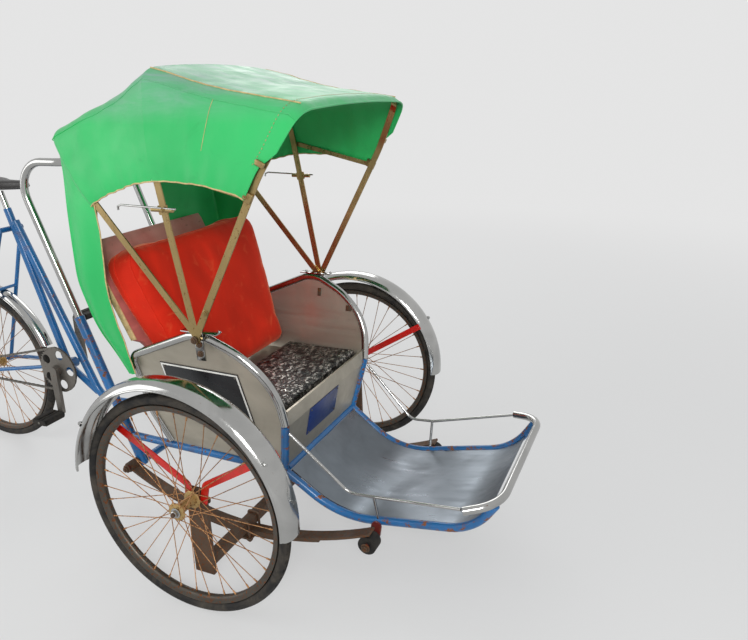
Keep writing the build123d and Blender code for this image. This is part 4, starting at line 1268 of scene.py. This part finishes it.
class RICKSHAW_OT_curtain(RickshawOperator):
    """Hangs the rear curtain in two tails, each drawn to the side and tied at the arm rail"""

    bl_idname = "rickshaw.curtain"
    bl_label = "Rear curtain"

    def build(self, sizes, colours):
        tails, bindings = [], []
        line = bow_line("rear")[14:39]
        bow_edge = [a.lerp(b, step / 20) for a, b in zip(line, line[1:]) for step in range(20)]
        for sign in (-1, 1):
            rows = [tail_row(row, sign) for row in range(len(tail_rows))]
            for column, place in enumerate(rows[0]):
                edge = min(bow_edge, key=lambda spot: abs(spot.y - place.y))
                rows[0][column] = edge + behind * 0.0125 + under * 0.005
                rows[0][column].y = place.y
            tails.append(canvas_grid(rows))
            bindings.append(drawn_tube([row[0] for row in rows[4:]], 1.9))
            bindings.append(drawn_tube([row[-1] for row in rows[2:]], 1.9))
        curtain = join(tails)
        thicken(curtain, sizes.cloth, 2)
        tidy_normals(curtain, 0.000001)
        dress(curtain, "hung_rear_curtain", "carriage", "canvas", 70)
        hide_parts("rear_curtain")
        dress(join(bindings), "curtain_binding", "carriage", "piping", 60)


arm_rail_corners = (
    # x, z and bend radius, from the front post to the lower rail
    (158, 466, 0), (155, 553, 190), (121, 623, 190), (58, 686, 260), (-68, 745, 110), (-348, 630, 40),
    (-340, 420, 60), (-302, 313, 0),
)
foot_rail_corners = (
    # x, half width, z and bend radius of the lower rail and the foot rail, from the rear post forward
    (-482, 240, 296, 0), (post_foot_x, post_foot_y, post_foot_z, 30), (303, 222, 152.7, 265),
    (423.5, 222, 176, 60), (712, 239.5, 232, 174), (775.3, 249, 330.9, 0),
)
front_bar_corners = (
    # x, y, z and bend radius, from tip to tip
    (700, -300, 326, 0), (791, -262, 344, 95), (791, 262, 344, 95), (700, 300, 326, 0),
)
handlebar_corners = (
    # x, y, z and bend radius, from the foot of one leg to the other
    (-628.5, -240, 700.3, 0), (-807.8, -240, 1196, 91), (-566, -240, 1196, 55),
    (-566, 240, 1196, 55), (-807.8, 240, 1196, 91), (-628.5, 240, 700.3, 0),
)
footboard_corners = (
    # x, z and bend radius of the footboard, from the front posts forward
    (133, 283, 0), (307.7, 156.3, 265), (708, 234, 174), (752, 290, 0),
)


class RICKSHAW_OT_sides(RickshawOperator):
    """Bends the rails and the footboard in long curves and cuts the side panels"""

    bl_idname = "rickshaw.sides"
    bl_label = "Rails, side panels and footboard"

    def build(self, sizes, colours):
        line = filleted(arm_rail_corners)
        edge = [Vector((108, 300)), Vector((144, 463))]
        for before, here, after in zip(line, line[1:], line[2:]):
            if 440 < here.y:
                along = (after - before).normalized()
                edge.append(here + Vector((-along.y, along.x)) * 12.3)
        edge += [Vector((-327, 420)), Vector((-302, 350)), Vector((-296, 309))]
        for side, sign in (("right", -1), ("left", 1)):
            rail = drawn_tube([on_side(x, z, sign) for x, z in line], frame_tube_radius, 5)
            ends = ((-118, 328), (4, 328), (4, 352), (-118, 352))
            foot = [at(x, sign * y, 746.5) for x, y in ends]
            rest = rounded(block(foot, [place + Vector((0, 0, 0.004)) for place in foot]), 1.2)
            dress(join([rail, rest]), f"bent_arm_rail_{side}", "carriage", "chrome", 40)
            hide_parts(f"arm_rail_{side}")
            outer = [on_side(x, z, sign, 1.1) for x, z in edge]
            panel = block(outer, [on_side(x, z, sign, -1.1) for x, z in edge])
            dress(panel, f"cut_side_panel_{side}", "carriage", "stainless", 30)
            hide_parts(f"side_panel_{side}")

            foot_line = [at(x, sign * y, z) for x, y, z in filleted(foot_rail_corners, 12)]
            post_line = [at(post_foot_x, sign * post_foot_y, post_foot_z), on_side(post_head_x, post_head_z, sign)]
            rear_line = [at(-444, sign * 240, 190), at(-628.4, sign * 240, 700)]
            frame_side = join([drawn_tube(foot_line, frame_tube_radius, 5),
                               drawn_tube(post_line, frame_tube_radius, 5), drawn_tube(rear_line, 16, 6)])
            dress(frame_side, f"bent_side_frame_{side}", "carriage", "scraped blue", 40)
            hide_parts(f"side_frame_{side}")

        rows = []
        for x, z in filleted(footboard_corners, 16):
            half = 209 + 15 * clamped((x - 430) / 260) + 7 * clamped((x - 690) / 72)
            half += 12 * clamped((303 - x) / 184)
            rows.append([at(x, half * (step / 8 - 1), z) for step in range(17)])
        board = canvas_grid(rows)
        thicken(board, 0.0025, 0)
        tidy_normals(board, 0.000001)
        dress(board, "bent_footboard", "carriage", "footplate", 30)
        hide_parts("footboard")
        for name, node, corners, radius in (
            ("bent_front_bar", "front_bar", front_bar_corners, 12),
            ("bent_handlebar", "handlebar", handlebar_corners, 12.5),
        ):
            tube = drawn_tube([at(*place) for place in filleted(corners, 12)], radius, 6)
            dress(tube, name, "carriage", "chrome", 40)
            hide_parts(node)


class RICKSHAW_OT_signs(RickshawOperator):
    """Sets the blank sign on the right panel and the blank plate under the seat"""

    bl_idname = "rickshaw.signs"
    bl_label = "Blank sign and plate"

    def build(self, sizes, colours):
        corners = ((-243, 624), (35, 620), (52, 442), (-236, 438))
        outer = [on_side(x, z, -1, 3.2) for x, z in corners]
        sign = rounded(block(outer, [on_side(x, z, -1, 1.4) for x, z in corners]), 0.5)
        dress(sign, "blank_side_sign", "carriage", "sign", 30)
        let_go()
        bpy.ops.mesh.primitive_plane_add(size=1)
        border = bpy.context.object
        for vertex, index in zip(border.data.vertices, (0, 1, 3, 2)):
            x, z = corners[index]
            vertex.co = on_side(x * 0.985 - 1.4, 531 + (z - 531) * 0.97, -1, 3.5)
        edit(border, "SELECT", "FACE")
        bpy.ops.mesh.inset(thickness=0.0055)
        bpy.ops.mesh.delete(type="FACE")
        leave()
        thicken(border, 0.0006, 0)
        dress(border, "sign_border", "carriage", "border", 30)

        slope = (post_head_x - post_foot_x) / (post_head_z - post_foot_z)

        def on_seat_front(y, z, out):
            return at(post_foot_x + slope * (z - post_foot_z) + out, y, z)

        corners = ((-125, 448), (68, 448), (68, 354), (-125, 354))
        front, back = ([on_seat_front(y, z, out) for y, z in corners] for out in (3.4, 1.3))
        plate = rounded(block(front, back), 0.6)
        dress(plate, "blank_seat_plate", "carriage", "plate", 30)
        screws = [(on_seat_front(y, z, 3.2), (1, 0, -slope), 2.6) for y in (-117, 60) for z in (362, 440)]
        screws += [(on_side(x, z, -1, 3.2), (0, -1, side_flare), 2.8)
                   for x, z in ((-228, 612), (24, 608), (40, 454), (-222, 450))]
        bolt_heads(screws, "plate_screws", "carriage", "steel")


saddle_stations = (
    # share of the length from the nose, half width in mm, share of the height of the foot and the top
    (0.0, 7, 0.42, 0.66), (0.02, 14, 0.3, 0.78), (0.08, 19, 0.2, 0.88), (0.25, 23, 0.14, 0.9),
    (0.42, 33, 0.1, 0.9), (0.56, 54, 0.08, 0.91), (0.68, 76, 0.06, 0.94), (0.8, 90, 0.05, 0.98),
    (0.92, 92, 0.05, 1.0), (0.98, 80, 0.14, 0.95), (1.0, 62, 0.34, 0.8),
)


def signed_power(value, power):
    return (1 if value >= 0 else -1) * abs(value) ** power


class RICKSHAW_OT_saddle(RickshawOperator):
    """Shapes the driver's saddle from nose to tail"""

    bl_idname = "rickshaw.saddle"
    bl_label = "Saddle"

    def build(self, sizes, colours):
        low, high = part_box("saddle")
        length, height = high.x - low.x, high.z - low.z
        turns = [2 * pi * step / 24 for step in range(24)]
        rings = []
        for share, half, foot, top in saddle_stations:
            ring = []
            for turn in turns:
                side, rise = signed_power(cos(turn), 0.7), signed_power(sin(turn), 0.75)
                z = low.z + height * ((foot + top) / 2 + (top - foot) / 2 * rise)
                ring.append(Vector((high.x - length * share, side * half / 1000, z)))
            rings.append(ring)
        shell = lofted(rings)
        modify(shell, "SUBSURF", levels=2, render_levels=2)
        apply_all(shell)
        path = []
        for share, half, foot, top in saddle_stations[1:-1]:
            path.append(Vector((high.x - length * share, half / 1000, low.z + height * (foot + 0.16))))
        loop = path + [Vector((place.x, -place.y, place.z)) for place in reversed(path)]
        snapped = []
        for start, end in zip(loop, loop[1:] + loop[:1]):
            for step in range(5):
                spot, normal = shell.closest_point_on_mesh(start.lerp(end, step / 5))[1:3]
                snapped.append(spot + normal * 0.0003)
        saddle = join([shell, drawn_tube(snapped, 1.6, closed=True)])
        dress(saddle, "padded_saddle", "driver_frame", "vinyl", 60)
        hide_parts("saddle")


chain_pitch = 12.7
chain_y = -55
crank_x, crank_z = -1001, 384
ring_teeth, cog_teeth = 44, 18
ring_radius = chain_pitch / 2 / sin(pi / ring_teeth)
cog_radius = chain_pitch / 2 / sin(pi / cog_teeth)


def tooth_ring(radius, count, centre, name, body):
    """Sprocket teeth round a crosswise axis."""
    let_go()
    bpy.ops.mesh.primitive_cube_add(size=1)
    tooth = bpy.context.object
    for vertex in tooth.data.vertices:
        wide = 0.0034 if vertex.co.z < 0 else 0.0012
        side = 1 if vertex.co.x > 0 else -1
        vertex.co = Vector((wide * side, vertex.co.y * 0.0022, 0.0062 * (vertex.co.z + 0.5)))
    places = []
    for step in range(count):
        turn = 2 * pi * (step + 0.5) / count
        radial = Vector((cos(turn), 0, sin(turn)))
        places.append(crosswise(Vector((sin(turn), 0, -cos(turn))), radial, centre + radial * radius / 1000))
    return dress(copies(tooth, places), name, body, "steel", 30)


def chain_spots():
    """Where the chain's pins lie, in the plane of the chain."""
    front, rear = Vector((crank_x, crank_z)), Vector((rear_axle_x, axle_z))
    big, small = ring_radius + 0.6, cog_radius + 0.6
    between = front - rear
    lean = atan2(between.y, between.x)
    half_wrap = acos((big - small) / between.length)
    path = []
    for centre, start, sweep, radius in ((front, lean + half_wrap, 2 * half_wrap, big),
                                         (rear, lean - half_wrap, 2 * pi - 2 * half_wrap, small)):
        for step in range(181):
            turn = start - step / 180 * sweep
            path.append(centre + Vector((cos(turn), sin(turn))) * radius)
    path.append(path[0])
    lengths = [(b - a).length for a, b in zip(path, path[1:])]
    total = sum(lengths)
    count = round(total / chain_pitch / 2) * 2
    spots = []
    travelled, index = 0.0, 0
    for link in range(count):
        wanted = total * link / count
        while travelled + lengths[index] < wanted:
            travelled += lengths[index]
            index += 1
        spots.append(path[index].lerp(path[index + 1], (wanted - travelled) / lengths[index]))
    return spots


class RICKSHAW_OT_drive(RickshawOperator):
    """Links the chain and cuts the teeth of chainring and sprocket"""

    bl_idname = "rickshaw.drive"
    bl_label = "Chain and teeth"

    def build(self, sizes, colours):
        spots = chain_spots()
        half_pitch, eye = chain_pitch / 2, 3.9
        shape = []
        for end in (1, -1):
            for step in range(5):
                turn = -pi / 2 + pi * step / 4
                shape.append(Vector((end * (half_pitch + eye * cos(turn)) / 1000, 0, end * eye * sin(turn) / 1000)))
        links = []
        for first, offset in ((0, 2.9), (1, 1.9)):
            plates = []
            for side in (-1, 1):
                inner, outer = (Vector((0, side * out / 1000, 0)) for out in (offset, offset + 0.9))
                plates.append(block([place + inner for place in shape], [place + outer for place in shape]))
            if first == 0:
                for end in (-half_pitch, half_pitch):
                    plates.append(lathed(((-4.3, 1.9), (4.3, 1.9)), Vector((end / 1000, 0, 0)), (0, 1, 0), 8))
            places = []
            for a, b in list(zip(spots, spots[1:] + spots[:1]))[first::2]:
                along = (b - a).normalized()
                middle = (a + b) / 2
                places.append(crosswise(Vector((along.x, 0, along.y)), Vector((-along.y, 0, along.x)),
                                        at(middle.x, chain_y, middle.y)))
            links.append(copies(join(plates), places))
        chain = dress(join(links), "linked_chain", "driver_frame", "steel", 30)
        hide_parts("chain")
        tooth_ring(ring_radius - 4.5, ring_teeth, at(crank_x, chain_y, crank_z), "chainring_teeth", "crank")
        hub = lathed(((44, 17), (52, 18), (53.4, 31.5), (56.6, 31.5), (57, 20), (60, 17)),
                     at(rear_axle_x, 0, axle_z), (0, -1, 0), 36)
        dress(hub, "rear_sprocket", "wheel_rear", "steel", 35)
        tooth_ring(cog_radius - 5.5, cog_teeth, at(rear_axle_x, chain_y, axle_z), "sprocket_teeth", "wheel_rear")


class RICKSHAW_OT_fittings(RickshawOperator):
    """Bolts, nuts, clamps, tie rods and clips"""

    bl_idname = "rickshaw.fittings"
    bl_label = "Bolts, clamps and rods"

    def build(self, sizes, colours):
        carriage, bright, middle, front, beam = [], [], [], [], []
        rods, clips, clamps = [], [], []
        lean = Matrix.Rotation(radians(bow_shapes["front"][0]), 4, "Y")
        for sign in (-1, 1):
            out = (0, sign, 0)
            bright.append((at(0, sign * 591.5, axle_z), out, 10.5))
            for angle in (32, 148):
                radial = Vector((cos(radians(angle)), sign * 0.32, sin(radians(angle))))
                place = around(at(guard_x, sign * 583, guard_z), radians(angle), 0.3475)
                bright.append((place, radial, 6.5))
            for x in (-22, 28):
                carriage.append((at(x, sign * 496.2, 318), (0, -sign, 0), 8))
            for x, z in ((-53, 688), (-54, 716)):
                carriage.append((at(x, sign * 354.4, z), out, 7))
            carriage += [
                (at(pivot_x, sign * 373, pivot_z), out, 8), (on_side(-349, 590, sign, 13), out, 6.5),
                (at(418, sign * 310.5, 139.6), out, 10), (at(-450.5, sign * 310.5, 208), out, 10),
            ]
            for x in (-95, 5):
                bright.append((on_side(x, 752.6, sign, -5), (0, 0, 1), 4.5))
            for x in (-18.5, 18.5):
                for y in (254, 310):
                    beam.append((at(x, sign * y, 61), (0, 0, -1), 7))
            middle.append((at(-107, sign * 371.5, 1095), out, 6))
            front += [(at(-8, sign * 370.8, 819), out, 6.5), (at(159, sign * 378, 1139), out, 6)]
            rod = ((-66, 372, 1098), (-250, 372, 1102.6), (-262, 371, 1098), (-263, 370, 1088))
            rods.append(drawn_tube([at(x, sign * y, z) for x, y, z in rod], 2.8, 3))
            for x, z, width, drop in ((-38, 696, 13, 28), (84, 645, 22, 20)):
                left, right, foot = x - width / 2, x + width / 2, z - drop
                corners = ((left, z), (right, z), (right, foot), (left, foot))
                face = [on_side(*corner, sign, -1.6) for corner in corners]
                clips.append(rounded(block(face, [place - Vector((0, sign * 0.0036, 0)) for place in face]), 1.5))
            for x, z, wide, tall in ((159, 1139, 34, 26), (206, 1219, 26, 15)):
                clamp = box_of(wide, 9, tall)
                clamp.matrix_world = Matrix.Translation(at(x, sign * 373.5, z)) @ lean
                clamps.append(rounded(settle(clamp), 2.5, 3))
        bolt_heads(carriage, "carriage_bolts", "carriage", "spring")
        bolt_heads(bright, "bright_bolts", "carriage", "chrome")
        bolt_heads(beam, "spring_clamp_nuts", "carriage", "spring")
        bolt_heads(middle, "middle_bow_bolts", "hood_middle", "gilt")
        bolt_heads(front, "front_bow_bolts", "hood_front", "gilt")
        dress(join(rods), "hood_tie_rods", "hood_middle", "chrome", 60)
        dress(join(clips), "panel_clips", "carriage", "spring", 40)
        dress(join(clamps), "front_bow_clamps", "hood_front", "gilt", 40)


lamps = (
    # name, place, aim, size, power
    ("key", (2.8, -3.8, 2.7), (0.3, 0, 0.6), 1.4, 122),
    ("fill", (-3.0, -2.5, 2.0), (0.2, 0, 0.6), 2.6, 48),
    ("back", (-1.2, 3.4, 3.0), (0.2, 0, 0.7), 2.2, 45),
)
backdrop = (0.78, 0.78, 0.78)
camera_place = (1139, -1791.6, 1385.5)
camera_yaw, camera_pitch, camera_roll = 0.4265, 0.3272, -0.0292
focal_pixels, picture_width, sensor_width = 685.66, 748, 36


class RICKSHAW_OT_stage(RickshawOperator):
    """Sets the pale floor, the soft lights and the camera"""

    bl_idname = "rickshaw.stage"
    bl_label = "Stage"

    def build(self, sizes, colours):
        self.lay_floor()
        self.light_world()
        self.set_camera()

    def lay_floor(self):
        let_go()
        bpy.ops.mesh.primitive_plane_add(size=60, location=(0, 0, 0))
        floor = bpy.context.object
        floor.name = "studio_floor"
        pale = Finish("pale floor", (0.7, 0.7, 0.69), roughness=0.9)
        pale.paint(pale.blend(pale.noise(1.5, 3), (0.69, 0.69, 0.68), (0.71, 0.71, 0.7)))
        away = pale.add("ShaderNodeVectorMath")
        away.operation = "LENGTH"
        pale.plug(away.inputs[0], pale.place)
        fade = pale.range(away.outputs["Value"], 0.9, 6.5, 0.55, 1.0)
        fade.node.interpolation_type = "SMOOTHSTEP"
        glow = pale.add("ShaderNodeEmission", Color=backdrop, Strength=1.0)
        pale.show(pale.math("MULTIPLY", pale.seen(), fade), pale.shader, glow, pale.tree.nodes["Material Output"])
        floor.data.materials.append(pale.material)

    def light_world(self):
        world = bpy.data.worlds.new("soft studio")
        bpy.context.scene.world = world
        world.use_nodes = True
        world.node_tree.nodes.clear()
        sky = Tree(world.node_tree)
        light = sky.add("ShaderNodeBackground", Color=(0.93, 0.96, 1.0), Strength=0.5)
        pale = sky.add("ShaderNodeBackground", Color=backdrop, Strength=1.0)
        sky.show(sky.seen(), light, pale, sky.add("ShaderNodeOutputWorld"))
        for name, place, aim, size, power in lamps:
            bpy.ops.object.light_add(type="AREA", location=place)
            lamp = bpy.context.object
            lamp.name = name
            lamp.data.size = size
            lamp.data.energy = power
            lamp.rotation_euler = (Vector(aim) - Vector(place)).to_track_quat("-Z", "Y").to_euler()

    def set_camera(self):
        ahead = Vector((-sin(camera_yaw) * cos(camera_pitch), cos(camera_yaw) * cos(camera_pitch),
                        -sin(camera_pitch)))
        right = Vector((cos(camera_yaw), sin(camera_yaw), 0))
        up = right.cross(ahead)
        tilted_right = right * cos(camera_roll) + up * sin(camera_roll)
        tilted_up = up * cos(camera_roll) - right * sin(camera_roll)
        view = Matrix((tilted_right, tilted_up, -ahead)).transposed().to_4x4()
        view.translation = at(*camera_place)
        bpy.ops.object.camera_add()
        camera = bpy.context.object
        camera.matrix_world = view
        camera.data.sensor_width = sensor_width
        camera.data.lens = focal_pixels / picture_width * sensor_width
        camera.data.clip_start = 0.05
        bpy.context.scene.camera = camera
        bpy.context.scene.view_settings.view_transform = "Standard"


class RICKSHAW_PT_panel(bpy.types.Panel):
    bl_label = "Cycle Rickshaw"
    bl_idname = "RICKSHAW_PT_panel"
    bl_space_type = "VIEW_3D"
    bl_region_type = "UI"
    bl_category = "Rickshaw"

    def draw(self, context):
        for operator in operators:
            self.layout.operator(operator.bl_idname)
        for group in (context.scene.rickshaw_sizes, context.scene.rickshaw_colours):
            for name in group.__annotations__:
                self.layout.prop(group, name)


operators = (
    RICKSHAW_OT_finishes,
    RICKSHAW_OT_tyres,
    RICKSHAW_OT_spokes,
    RICKSHAW_OT_mudguards,
    RICKSHAW_OT_seat,
    RICKSHAW_OT_hood,
    RICKSHAW_OT_curtain,
    RICKSHAW_OT_sides,
    RICKSHAW_OT_signs,
    RICKSHAW_OT_saddle,
    RICKSHAW_OT_drive,
    RICKSHAW_OT_fittings,
    RICKSHAW_OT_stage,
)
classes = (RickshawColours, RickshawSizes, *operators, RICKSHAW_PT_panel)


def register():
    for item in classes:
        bpy.utils.register_class(item)
    bpy.types.Scene.rickshaw_colours = bpy.props.PointerProperty(type=RickshawColours)
    bpy.types.Scene.rickshaw_sizes = bpy.props.PointerProperty(type=RickshawSizes)


def unregister():
    del bpy.types.Scene.rickshaw_sizes
    del bpy.types.Scene.rickshaw_colours
    for item in reversed(classes):
        bpy.utils.unregister_class(item)


def main():
    register()
    for operator in operators:
        section, action = operator.bl_idname.split(".")
        getattr(getattr(bpy.ops, section), action)()


if __name__ == "__main__":
    main()
